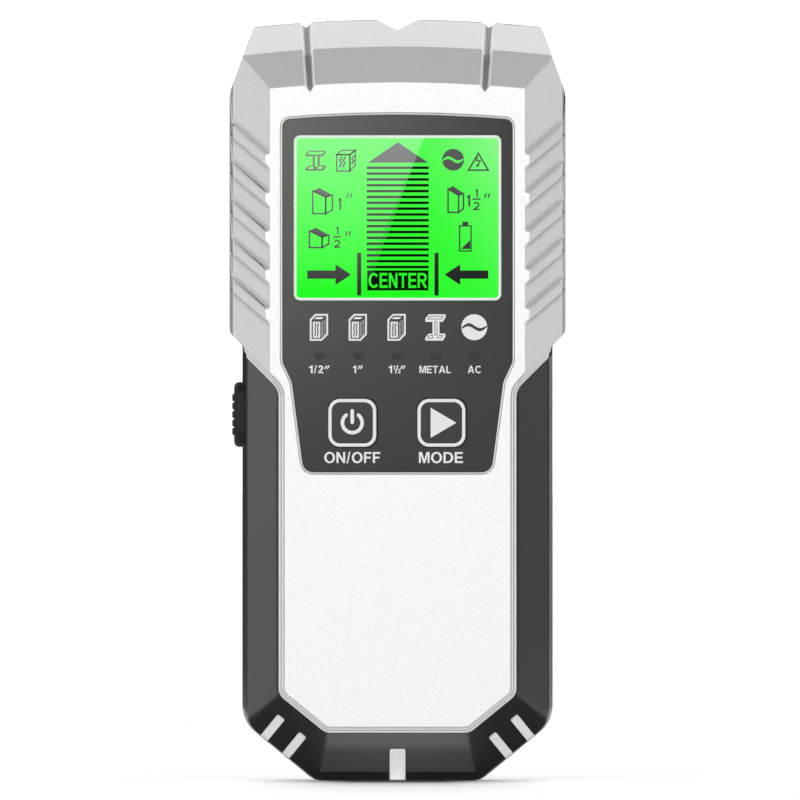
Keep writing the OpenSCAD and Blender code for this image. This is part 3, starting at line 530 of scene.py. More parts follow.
def front_outline(name):
    """The outline of a CAD node's front face, as a closed loop of points."""
    shape = bmesh.new()
    shape.from_mesh(nodes[name].data)
    bmesh.ops.remove_doubles(shape, verts=shape.verts, dist=WELD)
    front = min(v.co.y for v in shape.verts)
    faces = [f for f in shape.faces if all(abs(v.co.y - front) < 1e-6 for v in f.verts)]
    joined = {}
    for f in faces:
        for loop in f.loops:
            if not any(g is not f and g in faces for g in loop.edge.link_faces):
                joined[loop.vert] = loop.link_loop_next.vert
    loops = []
    while joined:
        start, v = next(iter(joined.items()))
        del joined[start]
        loop = [start]
        while v is not start:
            loop.append(v)
            v = joined.pop(v)
        loops.append([(v.co.x / MM, v.co.z / MM) for v in loop])
    shape.free()
    return max(loops, key=lambda points: max(x for x, z in points) - min(x for x, z in points))


# ---- Building pieces ----

def as_object(name, shape):
    """Turns a bmesh in mm into an object in metres, its faces outwards."""
    bmesh.ops.recalc_face_normals(shape, faces=shape.faces)
    mesh = bpy.data.meshes.new(name)
    shape.to_mesh(mesh)
    shape.free()
    mesh.transform(Matrix.Scale(MM, 4))
    made = bpy.data.objects.new(name, mesh)
    bpy.context.scene.collection.objects.link(made)
    return made


def finished(name, shape, material, body, sharp=35):
    """Turns a bmesh in mm into a piece that rides on a body; edges sharper than an angle stay sharp."""
    piece = as_object(name, shape)
    piece.data.shade_smooth()
    piece.data.set_sharp_from_angle(angle=math.radians(sharp))
    piece.data.materials.append(material)
    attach(piece, body)
    return piece


def add_band(shape, row, following, closed=True):
    """Adds the faces between two rows of vertices, which are closed rings or open lines."""
    for i in range(0 if closed else 1, len(row)):
        shape.faces.new((row[i - 1], row[i], following[i], following[i - 1]))


def add_plate(shape, outlines, front, back):
    """Adds a flat closed plate between two depths; the outlines after the first are its holes."""
    fronts, backs = ([[shape.verts.new((x, y, z)) for x, z in points] for points in outlines]
                     for y in (front, back))
    flat = [[Vector((x, z, 0)) for x, z in points] for points in outlines]
    front_verts = [v for ring in fronts for v in ring]
    back_verts = [v for ring in backs for v in ring]
    for a, b, c in tessellate_polygon(flat):
        if len({a, b, c}) == 3:
            shape.faces.new((front_verts[a], front_verts[b], front_verts[c]))
            shape.faces.new((back_verts[c], back_verts[b], back_verts[a]))
    for ring, other in zip(fronts, backs):
        add_band(shape, ring, other)


def add_loft(shape, levels):
    """Adds a closed stack of outlines (y, z), each at its place across the width."""
    rows = [[shape.verts.new((x, y, z)) for y, z in points] for x, points in levels]
    for row, following in zip(rows, rows[1:]):
        add_band(shape, row, following)
    shape.faces.new(rows[0])
    shape.faces.new(rows[-1][::-1])


def cut(piece, name, shape):
    """Cuts a bmesh in mm out of a piece."""
    cutter = as_object(name, shape)
    modifier = piece.modifiers.new(name, "BOOLEAN")
    modifier.object = cutter
    modifier.operation = "DIFFERENCE"
    modifier.solver = "EXACT"
    bpy.context.view_layer.update()
    made = bpy.data.meshes.new_from_object(piece.evaluated_get(bpy.context.evaluated_depsgraph_get()))
    piece.modifiers.remove(modifier)
    piece.data = made
    made.set_sharp_from_angle(angle=math.radians(40))
    bpy.data.objects.remove(cutter)


def printed(name, drawing, front, material, body="case", thick=0.05):
    """A thin print: every group of the drawing is an outline with its holes."""
    shape = bmesh.new()
    for outlines in drawing:
        add_plate(shape, outlines, front, front + thick)
    return finished(name, shape, material, body)


# ---- Lettering ----

def bend(x0, z0, wide, high, start, end, steps=12):
    """Points on part of an ellipse between two angles in degrees."""
    return moved(arc(0, 0, 1, start, end, steps), x0, z0, wide, high)


# Bold upright capitals and figures for the labels, on a cap height of 1: their width and drawing
LETTERS = {
    "A": (1.0, [[[(0, 0), (0.22, 0), (0.29, 0.22), (0.71, 0.22), (0.78, 0), (1, 0), (0.62, 1), (0.38, 1)],
                 [(0.35, 0.39), (0.65, 0.39), (0.5, 0.8)]]]),
    "C": (0.93, [[bend(0.5, 0.5, 0.5, 0.51, 40, 320, 24) + bend(0.5, 0.5, 0.29, 0.34, 320, 40, 24)]]),
    "D": (0.9, [[[(0, 0)] + bend(0.42, 0.5, 0.48, 0.5, -90, 90) + [(0, 1)],
                 [(0.2, 0.17)] + bend(0.4, 0.5, 0.29, 0.33, -90, 90) + [(0.2, 0.83)]]]),
    "E": (0.76, [[[(0, 0), (0.76, 0), (0.76, 0.17), (0.2, 0.17), (0.2, 0.42), (0.7, 0.42), (0.7, 0.59),
                   (0.2, 0.59), (0.2, 0.83), (0.74, 0.83), (0.74, 1), (0, 1)]]]),
    "F": (0.7, [[[(0, 0), (0.2, 0), (0.2, 0.41), (0.62, 0.41), (0.62, 0.58), (0.2, 0.58), (0.2, 0.83),
                  (0.7, 0.83), (0.7, 1), (0, 1)]]]),
    "L": (0.68, [[[(0, 0), (0.68, 0), (0.68, 0.17), (0.2, 0.17), (0.2, 1), (0, 1)]]]),
    "M": (0.98, [[[(0, 0), (0.18, 0), (0.18, 0.76), (0.4, 0), (0.58, 0), (0.8, 0.76), (0.8, 0), (0.98, 0),
                   (0.98, 1), (0.7, 1), (0.49, 0.3), (0.28, 1), (0, 1)]]]),
    "N": (0.82, [[[(0, 0), (0.19, 0), (0.19, 0.66), (0.62, 0), (0.82, 0), (0.82, 1), (0.63, 1), (0.63, 0.34),
                   (0.2, 1), (0, 1)]]]),
    "O": (1.02, [[bend(0.51, 0.5, 0.51, 0.52, 0, 345, 23), bend(0.51, 0.5, 0.3, 0.35, 0, 345, 23)]]),
    "R": (0.9, [[[(0, 0), (0.2, 0), (0.2, 0.41)] + bend(0.56, 0.705, 0.3, 0.295, -90, 90) + [(0, 1)],
                 [(0.2, 0.57)] + bend(0.53, 0.705, 0.13, 0.135, -90, 90) + [(0.2, 0.84)]],
                [[(0.34, 0.43), (0.66, 0), (0.9, 0), (0.57, 0.47)]]]),
    "T": (0.8, [[[(0.3, 0), (0.5, 0), (0.5, 0.83), (0.8, 0.83), (0.8, 1), (0, 1), (0, 0.83), (0.3, 0.83)]]]),
    "/": (0.36, [[[(0, -0.03), (0.13, -0.03), (0.36, 1.03), (0.23, 1.03)]]]),
    "1": (0.43, [[[(0.22, 0), (0.43, 0), (0.43, 1), (0.27, 1), (0.18, 0.86), (0, 0.79), (0, 0.62),
                   (0.22, 0.71)]]]),
    "2": (0.63, [[stroke(arc(0.31, 0.69, 0.21, 168, -38, 12) + [(0.1, 0.12)], 0.2)],
                 [[(0, 0), (0.63, 0), (0.63, 0.17), (0.02, 0.17)]]]),
}


def placed(drawing, x0, z0, wide=1.0, high=1.0):
    """A drawing stretched and moved; each of its groups is an outline and its holes."""
    return [[moved(points, x0, z0, wide, high) for points in outlines] for outlines in drawing]


def lettering(text, x0, z0, wide, high):
    """A word in a drawing, fitted to a width and a height about a middle point."""
    gap = 0.13
    total = sum(LETTERS[letter][0] for letter in text) + gap * (len(text) - 1)
    scale = wide / total
    drawing, x = [], x0 - wide / 2
    for letter in text:
        width, shape = LETTERS[letter]
        drawing += placed(shape, x, z0 - high / 2, scale, high)
        x += (width + gap) * scale
    return drawing


# ---- Symbols, in mm about their own middle ----

def wave_line(x0, z_top, z_bottom, swing, turns):
    """Points down a wavy grain line."""
    count = 6 * turns
    return [(x0 + swing * math.sin(2 * math.pi * turns * i / count), z_top + (z_bottom - z_top) * i / count)
            for i in range(count + 1)]


def wave_disc(radius, gap):
    """A disc parted by a wave: the sign for live wires. The gap is widest at its middle."""
    halves = []
    for side in (1, -1):
        edge = []
        for i in range(25):
            share = 1 - i / 12
            swell = gap / 2 * math.sqrt(max(0.0, 1 - share ** 2)) + 0.12 * gap
            edge.append((radius * share, -0.185 * radius * math.sin(3.6 * share) + side * swell))
        start = math.degrees(math.asin(edge[0][1] / radius))
        end = side * 180 - math.degrees(math.asin(edge[-1][1] / radius))
        halves.append([arc(0, 0, radius, start, end, 28) + edge[-2:0:-1]])
    return halves


def beam(line):
    """A steel beam seen from the side and above; line is the width of its open lines."""
    top = [(-1.42, 2.87), (2.2, 2.87), (2.2, 2.2), (1.6, 1.21), (0.88, 1.21), (0.88, -1.33), (2.15, -1.33),
           (2.18, -1.95), (1.6, -2.87), (-2.2, -2.87), (-2.24, -2.24), (-1.47, -1.36), (-0.65, -1.36),
           (-0.65, 1.21), (-2.2, 1.21), (-2.2, 1.95)]
    flange = [(-1.77, 1.77), (-1.36, 2.5), (1.83, 2.5), (1.4, 1.77)]
    web = [(-0.2, -1.7), (-0.2, 1.35), (0.4, 1.35), (0.4, -1.7)]
    left = [(-1.77, -2.4), (-1.42, -1.72), (-0.42, -1.72), (-0.6, -2.4)]
    right = [(0.2, -2.35), (0.62, -1.7), (1.7, -1.7), (1.3, -2.35)]
    islands = [[shrunk(hole, line)] for hole in (flange, web, left, right)]
    return [[top, flange, web, left, right]], islands


def timber(line):
    """A block of timber with its grain, drawn in lines."""
    front = [(-2.03, -2.2), (0.83, -2.2), (0.83, 1.36), (-2.03, 1.36)]
    top = [(-2.03, 1.36), (-0.9, 2.3), (2.03, 2.3), (0.83, 1.36)]
    side = [(0.83, -2.2), (2.03, -0.92), (2.03, 2.3), (0.83, 1.36)]
    grain = [[stroke(wave_line(x, high, low, 0.2, 2), line * 1.1)]
             for x, high, low in ((-1.15, 0.95, -1.36), (-0.42, 0.95, -1.36), (1.5, 1.2, -0.72))]
    return [outlined(face, line) for face in (front, top, side)] + grain


def thick_block(front_wide, high, side_wide, drop, lift, line):
    """A slab of wall of some thickness, its sloping top filled in, drawn from its lower left corner."""
    wide = front_wide + side_wide
    foot, far_foot = (front_wide, 0.0), (wide, lift * 0.85 + 0.25)
    top, far_top = (front_wide, high - drop), (wide, high - drop + lift * 0.7)
    left_top, back_top = (0.0, high), (side_wide * 0.95, high + lift)
    return [[[left_top, top, far_top, back_top]],
            outlined([(0.0, 0.0), foot, top, left_top], line), outlined([foot, far_foot, far_top, top], line)]


def inch_marks(x0, z0, high, width, apart=0.75):
    """Two slanted strokes about a middle point."""
    return [[stroke([(x - 0.2, z0 - high / 2), (x + 0.2, z0 + high / 2)], width)]
            for x in (x0 - apart / 2, x0 + apart / 2)]


def figure_one(x0, low, high, width):
    """The figure 1 with its stem at x0."""
    tall = high - low
    flag = [(x0, high - width * 0.6), (x0 - tall * 0.196, high - tall * 0.22)]
    return [[stroke([(x0, low), (x0, high)], width)], [stroke(flag, width * 0.8)]]


def figure_two(x0, low, high, width):
    """The figure 2 about a middle line."""
    tall = high - low
    r = tall * 0.27
    bow = arc(x0, high - r - width / 2, r, 165, -40, 10)
    foot = [(x0 - r - width * 0.2, low + width * 0.6)]
    return [[stroke(bow + foot, width)], [rectangle(2 * r + width * 1.2, width, 0, x0, low + width / 2)]]


def half_figure(x0, z0, line):
    """The fraction one half about the middle of its bar."""
    return (figure_one(x0 + 0.15, z0 + 0.5, z0 + 2.2, line) + [[rectangle(1.75, line, 0, x0, z0)]]
            + figure_two(x0, z0 - 2.4, z0 - 0.6, line))


def pointer(tip_x, back_x, z0):
    """A fat arrow between a tip and the back of its shaft."""
    shaft, barb = 0.9, 2.25
    head_x = tip_x - math.copysign(3.4, tip_x - back_x)
    return [[[(back_x, z0 - shaft), (head_x, z0 - shaft), (head_x, z0 - barb), (tip_x, z0),
              (head_x, z0 + barb), (head_x, z0 + shaft), (back_x, z0 + shaft)]]]


def warning_triangle():
    """A triangle with a flash in it."""
    edge = [(-2.45, -2.1), (2.45, -2.1), (0.0, 2.1)]
    flash = [[stroke([(-0.19, 0.95), (-0.46, 0.1), (0.38, 0.14), (-0.08, -0.85)], 0.28)],
             [[(-0.58, -0.68), (-0.25, -1.3), (0.34, -0.74)]]]
    return [[edge, shrunk(edge, 0.36)]] + flash


def battery_symbol():
    """An upright battery nearly empty."""
    return [[rectangle(2.77, 5.73), rectangle(2.21, 5.17)], [rectangle(1.26, 0.8, 0, -0.02, 3.24)],
            [[(-0.95, -2.3), (1.05, -2.3), (1.05, -0.33)]]]


# ---- The display's and the panel's prints ----

# Prints lie this far in front of what they are printed on, and the panel's a little to the left
ink_lift = 0.03
ink_y = panel_y - ink_lift
glass_y = window_low.y - ink_lift
print_x = -0.15

# Display: everything it can show, as on a tool that has just been switched on
beam_body, beam_cores = beam(0.14)
line = 0.34
arrow_z = -12.35
bar_pitch = 1.2706
word_z = -13.62
shown = placed(beam_body, -17.8, 12.45, 1.0, 0.76)
for symbol, x, z in (
        (timber(line), -11.2, 12.4), (wave_disc(2.37, 0.5), 12.1, 12.65), (warning_triangle(), 17.6, 12.3),
        (thick_block(2.82, 4.95, 1.45, 1.36, 0.68, line), -18.45, 0.91),
        (thick_block(2.77, 3.64, 1.46, 1.36, 0.68, line), -19.18, -6.47),
        (thick_block(2.29, 5.1, 1.06, 1.41, 0.63, line), 11.0, 1.2), (battery_symbol(), 14.77, -4.48)):
    shown += placed(symbol, x, z)
shown += figure_one(-12.45, 1.73, 4.31, 0.42) + inch_marks(-10.5, 4.86, 1.0, 0.3)
shown += half_figure(-13.13, -4.12, 0.32) + inch_marks(-10.75, -3.37, 1.0, 0.32)
shown += figure_one(15.62, 2.46, 5.03, 0.42) + half_figure(17.18, 4.08, 0.32)
shown += inch_marks(19.5, 4.86, 1.0, 0.3)
# Arrows to the upright marks beside the word, and the point over the bars
shown += pointer(-10.1, -19.65, arrow_z) + pointer(10.25, 19.75, arrow_z)
shown += [[rectangle(0.9, 9.3, 0, x, -12.25)] for x in (-8.35, 8.5)]
shown += [[[(-6.5, 12.0), (6.7, 12.0), (0.1, 16.5)]]]
# The bars, and the dark ground of the word
bars = [[rectangle(13.5, 0.56, 0, 0.05, 10.9 - bar_pitch * k)] for k in range(18)]
bars += [[rectangle(13.35, 4.35, 0, 0.07, word_z)]]
word = lettering("CENTER", 0.07, word_z, 12.7, 3.26)
for name, drawing, front, layer in (
        ("display_symbols", shown, glass_y, display_grey), ("display_bars", bars, glass_y, display_dark),
        ("display_word", word, glass_y - 0.02, display_green)):
    printed(name, placed(drawing, 0, window_z), front, layer)

# White border painted round the window's edge
window_line = front_outline("window_lens")
printed("window_border", [[shrunk(window_line, -0.04), shrunk(window_line, 0.5)]],
        window_low.y - 0.05, window_paint, thick=0.15)

# Panel: symbols over the five indicator lamps, three blocks of timber, a beam and the sign for live wires
icon_x = [led_pitch * k - 0.05 for k in (-2, -1, 0, 1, 2)]
icon_z = led_z + 5.8
rim = [(-1.99, 1.70), (-0.85, 2.90), (1.99, 2.90), (1.99, -1.57), (0.66, -2.94), (-1.99, -2.94)]
face = [(-1.32, -2.3), (0.28, -2.3), (0.28, 1.2), (-1.32, 1.2)]
face_grain = [stroke(wave_line(x, 0.9, -2.0, 0.07, 2), 0.24) for x in (-0.8, -0.25)]
lid = [(-1.0, 1.78), (-0.6, 2.2), (1.05, 2.2), (0.62, 1.78)]
cheek = [(0.5, -2.3), (1.38, -1.4), (1.38, 1.7), (0.5, 1.0)]
cheek_grain = stroke(wave_line(1.0, 1.05, -1.45, 0.07, 2), 0.22)
icons, shades = [], []
for x in icon_x[:3]:
    icons += placed([[rim, shrunk(rim, 0.4)], [face] + face_grain, [lid]], x, icon_z)
    shades += placed([[cheek, cheek_grain]], x, icon_z)
icons += placed(beam_body + beam_cores, icon_x[3], icon_z - 0.05)
icons += placed(wave_disc(2.82, 0.62), icon_x[4], icon_z)

# Labels under the lamps and the keys: each word's middle, width and height
label_z = led_z - 3.4
key_label_z = key_z - 7.56
labels = []
for text, x, z, wide, high in (
        ("1/2", -2 * led_pitch - 0.65, label_z + 0.05, 3.15, 1.7),
        ("1", -led_pitch - 0.75, label_z + 0.05, 0.72, 1.7),
        ("1", -1.4, label_z + 0.05, 0.72, 1.7),
        ("1", -0.62, label_z + 0.4, 0.42, 0.95),
        ("/", -0.05, label_z + 0.05, 0.75, 1.7),
        ("2", 0.5, label_z - 0.36, 0.6, 0.95),
        ("METAL", led_pitch - 0.12, label_z, 6.85, 1.6),
        ("AC", 2 * led_pitch, label_z, 2.94, 1.65),
        ("ON/OFF", power_x, key_label_z, 12.2, 2.4),
        ("MODE", mode_x - 0.1, key_label_z, 9.6, 2.4)):
    labels += lettering(text, x, z, wide, high)
for x in (-2 * led_pitch + 1.7, -led_pitch + 0.48, 1.28):
    labels += inch_marks(x, label_z + 0.5, 0.75, 0.28, 0.52)

# Smoked spots over the indicator lamps, with painted shade at their lower edges
spots = [[arc(k * led_pitch, led_z, 1.28, 0, 345, 23)] for k in (-2, -1, 0, 1, 2)]
for name, drawing, ink in (
        ("panel_icons", icons, white_ink), ("panel_icon_shades", shades, grey_ink),
        ("panel_labels", labels, white_ink), ("indicator_spots", spots, smoky_print_with_painted_shade)):
    printed(name, placed(drawing, print_x, 0), ink_y, ink)

# Keys: a ring round each, the power sign and the play triangle
ring = [rectangle(10.4, 10.4, 2.5), rectangle(9.0, 9.0, 1.85)]
sign_line = 0.78
half_gap = 39
power_arc = stroke(arc(0, 0, 2.14, 90 + half_gap, 450 - half_gap, 40), sign_line, True)
power_bar = stroke([(0, 2.6), (0, 0.1)], sign_line, True)
play = [(-2.35, -3.3), (3.25, 0.0), (-2.35, 3.3)]
printed("power_sign", placed([ring, [power_arc], [power_bar]], power_x + print_x, key_z),
        power_low.y - ink_lift, white_ink, "power")
printed("mode_sign", placed([ring, [play]], mode_x + print_x, key_z),
        mode_low.y - ink_lift, white_ink, "mode")

# Bright bead round the panel, with its outer edge just inside the edge of the recess
panel_line = front_outline("panel_overlay")
bead = bmesh.new()
# The bead's section: how far inside the panel's edge, and how far behind its face
bead_section = [(-0.09, 0.1), (-0.09, -0.08), (0.0, -0.13), (0.22, -0.13), (0.32, -0.04), (0.32, 0.1)]
rows = [[bead.verts.new((x, panel_y + behind, z)) for x, z in shrunk(panel_line, inwards)]
        for inwards, behind in bead_section]
for row, following in zip(rows, rows[1:] + rows[:1]):
    add_band(bead, row, following)
finished("panel_trim", bead, trim_foil, "case", 60)
# A dark line printed inside the trim: painted shade along the panel's edge
printed("panel_edge_shade_line", [[shrunk(panel_line, 0.3), shrunk(panel_line, 0.44)]],
        ink_y, edge_shade_ink)


# ---- Grip: a rubber skin, softly mitred at the foot ----

# How far each wall of the grip stands out where the shells part, and how much of that is draft past its knee
side_wall = (7.95, 0.8)
foot_wall = (9.73, 0.35)
base_wall = (10.5, 0.0)
# The rim where the skin starts: its side, its base and the corner cut off between them
rim_x = grip_high.x - side_wall[0]
rim_z = base_wall[0]
foot_top_z = 18.8
foot_in = 10.2
step_z = grip_high.z - side_wall[0]
rubber_y = face_y + 1.2
knee_y = rubber_y + 6.9
part_y = grip_high.y
foot_angle = math.atan2(foot_top_z - rim_z, foot_in)
foot_out = Vector((math.sin(foot_angle), -math.cos(foot_angle)))
skin_thick = 1.5


def soft_least(a, b, blend):
    """The smaller of two heights, with a rounded change from one to the other."""
    return min(a, b) - max(blend - abs(a - b), 0.0) ** 2 / blend / 4


def skin_reach(y, wide, draft, under=0.0):
    """How far the grip stands out of the rim at a depth, or its inner side at a thickness under the skin.

    On the slope the inner side starts 1.4 thicknesses deeper, so that the skin stays as thick there."""
    slope = (wide - draft) * (y - rubber_y - under * 1.4) / (knee_y - rubber_y)
    wall = wide - draft + draft * (y - knee_y) / (part_y - knee_y) - under
    return max(0.0, soft_least(slope, wall, 0.5))


def grip_line(y, under=0.0):
    """The line of the grip at a depth, from its top on the left round the foot to its top on the right."""
    side, foot, base = (skin_reach(y, *wall, under) for wall in (side_wall, foot_wall, base_wall))
    share = side / side_wall[0]
    turn_x = rim_x - foot_in + (foot - math.cos(foot_angle) * base) / math.sin(foot_angle)
    turn_z = foot_top_z + (math.sin(foot_angle) * side - foot) / math.cos(foot_angle)
    # The foot's corners are tight at the rim and open outwards
    low_radius, high_radius = (1.5, 2.5) if under else (3 + 1.5 * share, 3 + 5 * share ** 3)
    middle = (0.0, rim_z - base)
    bends = rounded([(*middle, 0), (turn_x, rim_z - base, low_radius),
                     (rim_x + side, turn_z, high_radius), (rim_x + side, step_z + side, 0)], 10)[1:]
    climb = [tuple(Vector(bends[-2]).lerp(Vector(bends[-1]), i / 12)) for i in range(1, 12)]
    right = bends[:-1] + climb + bends[-1:]
    return mirrored(right) + [middle] + right


# The skin's lines lie closest round its knee; its inner side has fewer
depths = [rubber_y + 0.25 + 0.6 * i for i in range(8)]
depths += [depths[-1] + 0.28 * i for i in range(1, 17)]
depths += [depths[-1] + (part_y - depths[-1]) * i / 6 for i in range(1, 7)]
inner_depths = [y for y in reversed(depths) if y > rubber_y + 2.6][::2] + [rubber_y + 2.1]
lines = [(rubber_y + 0.35, grip_line(rubber_y)), (rubber_y + 0.12, grip_line(rubber_y + 0.07))]
lines += [(y, grip_line(y)) for y in depths]
lines += [(y, grip_line(y, skin_thick)) for y in inner_depths]
skin = bmesh.new()
rows = [[skin.verts.new((x, y, z)) for x, z in points] for y, points in lines]
for row, following in zip(rows, rows[1:] + rows[:1]):
    add_band(skin, row, following, closed=False)
skin.faces.new([row[0] for row in rows])
skin.faces.new([row[-1] for row in rows][::-1])
grip = finished("grip_skin", skin, grip_rubber, "case", 40)
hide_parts("grip_overmould")

# Slots for the pale bars at the foot: one in the middle, two in each corner, open outwards
bar_start, bar_long = 3.35, 24
slot_front, slot_back = face_y - 4, part_y - 1.2
corner_pitch = 6.07
corner_middle = Vector((rim_x - foot_in / 2, (foot_top_z + rim_z) / 2))
along = Vector((foot_out.y, -foot_out.x))


def bar_slot(wide, start, out):
    """A slot's outline: it starts near a place on the rim and runs out in a direction."""
    slot = rectangle(bar_long, wide, 0.5, bar_long / 2 + bar_start)
    return moved(turned(slot, math.degrees(math.atan2(out.y, out.x))), *start)


slots = bmesh.new()
add_plate(slots, [bar_slot(3.9, (0, rim_z), Vector((0, -1)))], slot_front, slot_back)
for s in (-0.5, 0.5):
    slot = bar_slot(2.06, corner_middle + along * s * corner_pitch, foot_out)
    add_plate(slots, [slot], slot_front, slot_back)
    add_plate(slots, [mirrored(slot)], slot_front, slot_back)
cut(grip, "foot_slots", slots)

# Silver inlays that carry the bars on over the side walls of the corners, a little under the rubber
inlays = bmesh.new()
inlay_start, inlay_end = rubber_y + 3.15, part_y - 1.3
inlay_half, inlay_sunk, inlay_thick = 0.97, 0.1, 1.0
inlay_depths = [inlay_start + (inlay_end - inlay_start) * i / 24 for i in range(25)]
outer = [(skin_reach(y, *foot_wall) - inlay_sunk, y) for y in inlay_depths]
inner = [(reach - inlay_thick, y) for reach, y in reversed(outer)]
for side in (-1, 1):
    for s in (-0.5, 0.5):
        rings = []
        for half in (-inlay_half, inlay_half):
            start = corner_middle + along * (s * corner_pitch + half)
            ring = [(start + foot_out * reach, y) for reach, y in outer + inner]
            rings.append([inlays.verts.new((side * point.x, y, point.y)) for point, y in ring])
        add_band(inlays, *rings)
        for ring in rings:
            add_band(inlays, ring[:len(outer)], ring[:len(outer) - 1:-1], closed=False)
finished("foot_inlays", inlays, silver_lacquer, "case", 40)


# ---- Side button and its slot, seen from the side as (y, z) ----

slot_size = (7.3, 14.5)
flange_size = (6.0, 15.8)
cap_size = (7.0, 14.2)
cap_round = 1.1
flange_thick = 0.8
rib_pitch = 1.85


def button_line(wide, long):
    """An outline with round ends about the button's middle."""
    return rectangle(wide, long, wide / 2 - 0.01, scan_y, scan_z, 12)


slot_cut = bmesh.new()
add_loft(slot_cut, [(x, button_line(*slot_size)) for x in (-50, -20)])
cut(grip, "button_slot", slot_cut)

# The flange stays inside the grip; the cap's edge is rounded and five ribs stand on it
button_x = scan_low.x + 0.4
flange_x = scan_high.x - flange_thick
button = bmesh.new()
levels = [(scan_high.x, button_line(*flange_size)), (flange_x, button_line(*flange_size)),
          (flange_x, button_line(*cap_size))]
for i in range(7):
    tilt = math.radians(90 * i / 6)
    inwards = cap_round * (1 - math.cos(tilt))
    levels.append((button_x + cap_round * (1 - math.sin(tilt)),
                   button_line(cap_size[0] - 2 * inwards, cap_size[1] - 2 * inwards)))
add_loft(button, levels)
# A rib's section: how far behind the cap's face, and how far inside the rib's outline
rib_section = [(0.6, 0.0), (-0.18, 0.0), (-0.33, 0.1), (-0.4, 0.3)]
for k in range(-2, 3):
    add_loft(button, [(button_x + behind, rectangle(4.8 - 2 * inwards, 1.6 - 2 * inwards, 0.45 - inwards,
                                                    scan_y, scan_z + k * rib_pitch))
                      for behind, inwards in rib_section])
cap = finished("scan_cap", button, button_rubber, "scan", 50)
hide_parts("scan_button")


# ---- Studio: camera, sweep, lamps ----

camera_far = 6.5
camera_x, camera_z = 0.54 * MM, 82.96 * MM
view_width = 174.1 * MM
camera_data = bpy.data.cameras.new("camera")
camera_data.sensor_width = 36
camera_data.lens = camera_data.sensor_width * camera_far / view_width
camera_data.clip_end = 100
camera = bpy.data.objects.new("camera", camera_data)
camera.location = (camera_x, face_y * MM - camera_far, camera_z)
camera.rotation_euler = (math.radians(90), 0, 0)
bpy.context.scene.collection.objects.link(camera)
bpy.context.scene.camera = camera


def stage_piece(name, corners, faces, material):
    """A plain piece of the studio."""
    mesh = bpy.data.meshes.new(name)
    mesh.from_pydata(corners, [], faces)
    mesh.materials.append(material)
    piece = bpy.data.objects.new(name, mesh)
    bpy.context.scene.collection.objects.link(piece)
    return piece


def studio_card(name, corners, y, material):
    """An upright card with four corners (x, z) at a depth, which only reflections show."""
    card = stage_piece(name, [(x, y, z) for x, z in corners], [(0, 1, 2, 3)], material)
    card.visible_camera = False
    card.visible_diffuse = False
    card.visible_shadow = False


def background_paper(name, rays, contact=0.0):
    """Matt white paper that also shows white to some kinds of ray, each at its strength.

    Within the contact distance in metres, a soft shadow of the foot that stands on it is painted into it from
    ambient occlusion."""
    material, tree, surface, place = new_material(name, {}, "ShaderNodeAddShader")
    paper_white = hex_colour("f2f2f2")
    paper = add_node(tree, "ShaderNodeBsdfDiffuse", {"Color": paper_white})
    ray = add_node(tree, "ShaderNodeLightPath", {}).outputs
    level = 0.0
    for kind, strength in rays.items():
        level = add_node(tree, "ShaderNodeMath", {
            "operation": "MULTIPLY_ADD", 0: ray[kind], 1: strength, 2: level})
    if contact:
        open_sky = add_node(tree, "ShaderNodeAmbientOcclusion", {"samples": 16, "Distance": contact})
        hidden = add_node(tree, "ShaderNodeMapRange", {
            "Value": open_sky.outputs["AO"], "From Min": 0.65, "From Max": 1.0,
            "To Min": -0.96, "To Max": 0.0})
        # The painted shadow stays near the foot's middle and in front of it, and only the camera sees it
        parts = add_node(tree, "ShaderNodeSeparateXYZ", {"Vector": place}).outputs
        aside = add_node(tree, "ShaderNodeMath", {"operation": "ABSOLUTE", 0: parts["X"]})
        under_foot = add_node(tree, "ShaderNodeMapRange", {
            "Value": aside, "From Min": 0.01, "From Max": 0.034, "To Min": 1.0, "To Max": 0.0})
        in_front = add_node(tree, "ShaderNodeMapRange", {
            "Value": parts["Y"], "From Min": -0.01, "From Max": 0.03, "To Min": 1.0, "To Max": 0.0})
        shaded = add_node(tree, "ShaderNodeMath", {"operation": "MULTIPLY", 0: under_foot, 1: in_front})
        seen = add_node(tree, "ShaderNodeMath", {"operation": "MULTIPLY", 0: shaded, 1: ray["Is Camera Ray"]})
        clear = add_node(tree, "ShaderNodeMath", {"operation": "MULTIPLY_ADD", 0: hidden, 1: seen, 2: 1.0})
        level = add_node(tree, "ShaderNodeMath", {"operation": "MULTIPLY", 0: level, 1: clear})
        shade = add_node(tree, "ShaderNodeVectorMath", {
            "operation": "SCALE", 0: paper_white[:3], "Scale": clear})
        set_up(paper, {"Color": shade})
    white = add_node(tree, "ShaderNodeEmission", {"Color": (1, 1, 1, 1), "Strength": level})
    set_up(surface, {0: paper, 1: white})
    return material


floor = stage_piece("studio_floor", [(-1.2, -2.2, 0), (1.2, -2.2, 0), (1.2, 1.0, 0), (-1.2, 1.0, 0)],
                    [(0, 1, 2, 3)], background_paper("white paper floor", {
                        "Is Camera Ray": 0.37, "Is Glossy Ray": 0.1, "Is Transmission Ray": 0.15}, 0.25))
wall_far, wall_high = 20, 35
sweep = arc(0, 0, wall_far, 0, 180, 30)
stage_piece("studio_wall", [(x, y, z) for x, y in sweep for z in (0, wall_high)],
            [(2 * i, 2 * i + 2, 2 * i + 3, 2 * i + 1) for i in range(len(sweep) - 1)],
            background_paper("white paper wall", {
                "Is Camera Ray": 1.0, "Is Glossy Ray": 1.0, "Is Transmission Ray": 1.0}))

# Dark and grey cards behind the object at its sides, so that its side walls read against the white
dark_card = new_material("dark studio card", {"Base Color": hex_colour("303030"), "Roughness": 0.9})[0]
grey_card = new_material("grey studio card", {"Base Color": hex_colour("808080"), "Roughness": 0.9})[0]
for name, x0, x1, material in (("studio_flag_left", -0.8, -0.05, dark_card),
                               ("studio_flag_right", 0.05, 0.7, grey_card)):
    studio_card(name, [(x0, 0), (x1, 0), (x1, 0.6), (x0, 0.6)], 0.7, material)

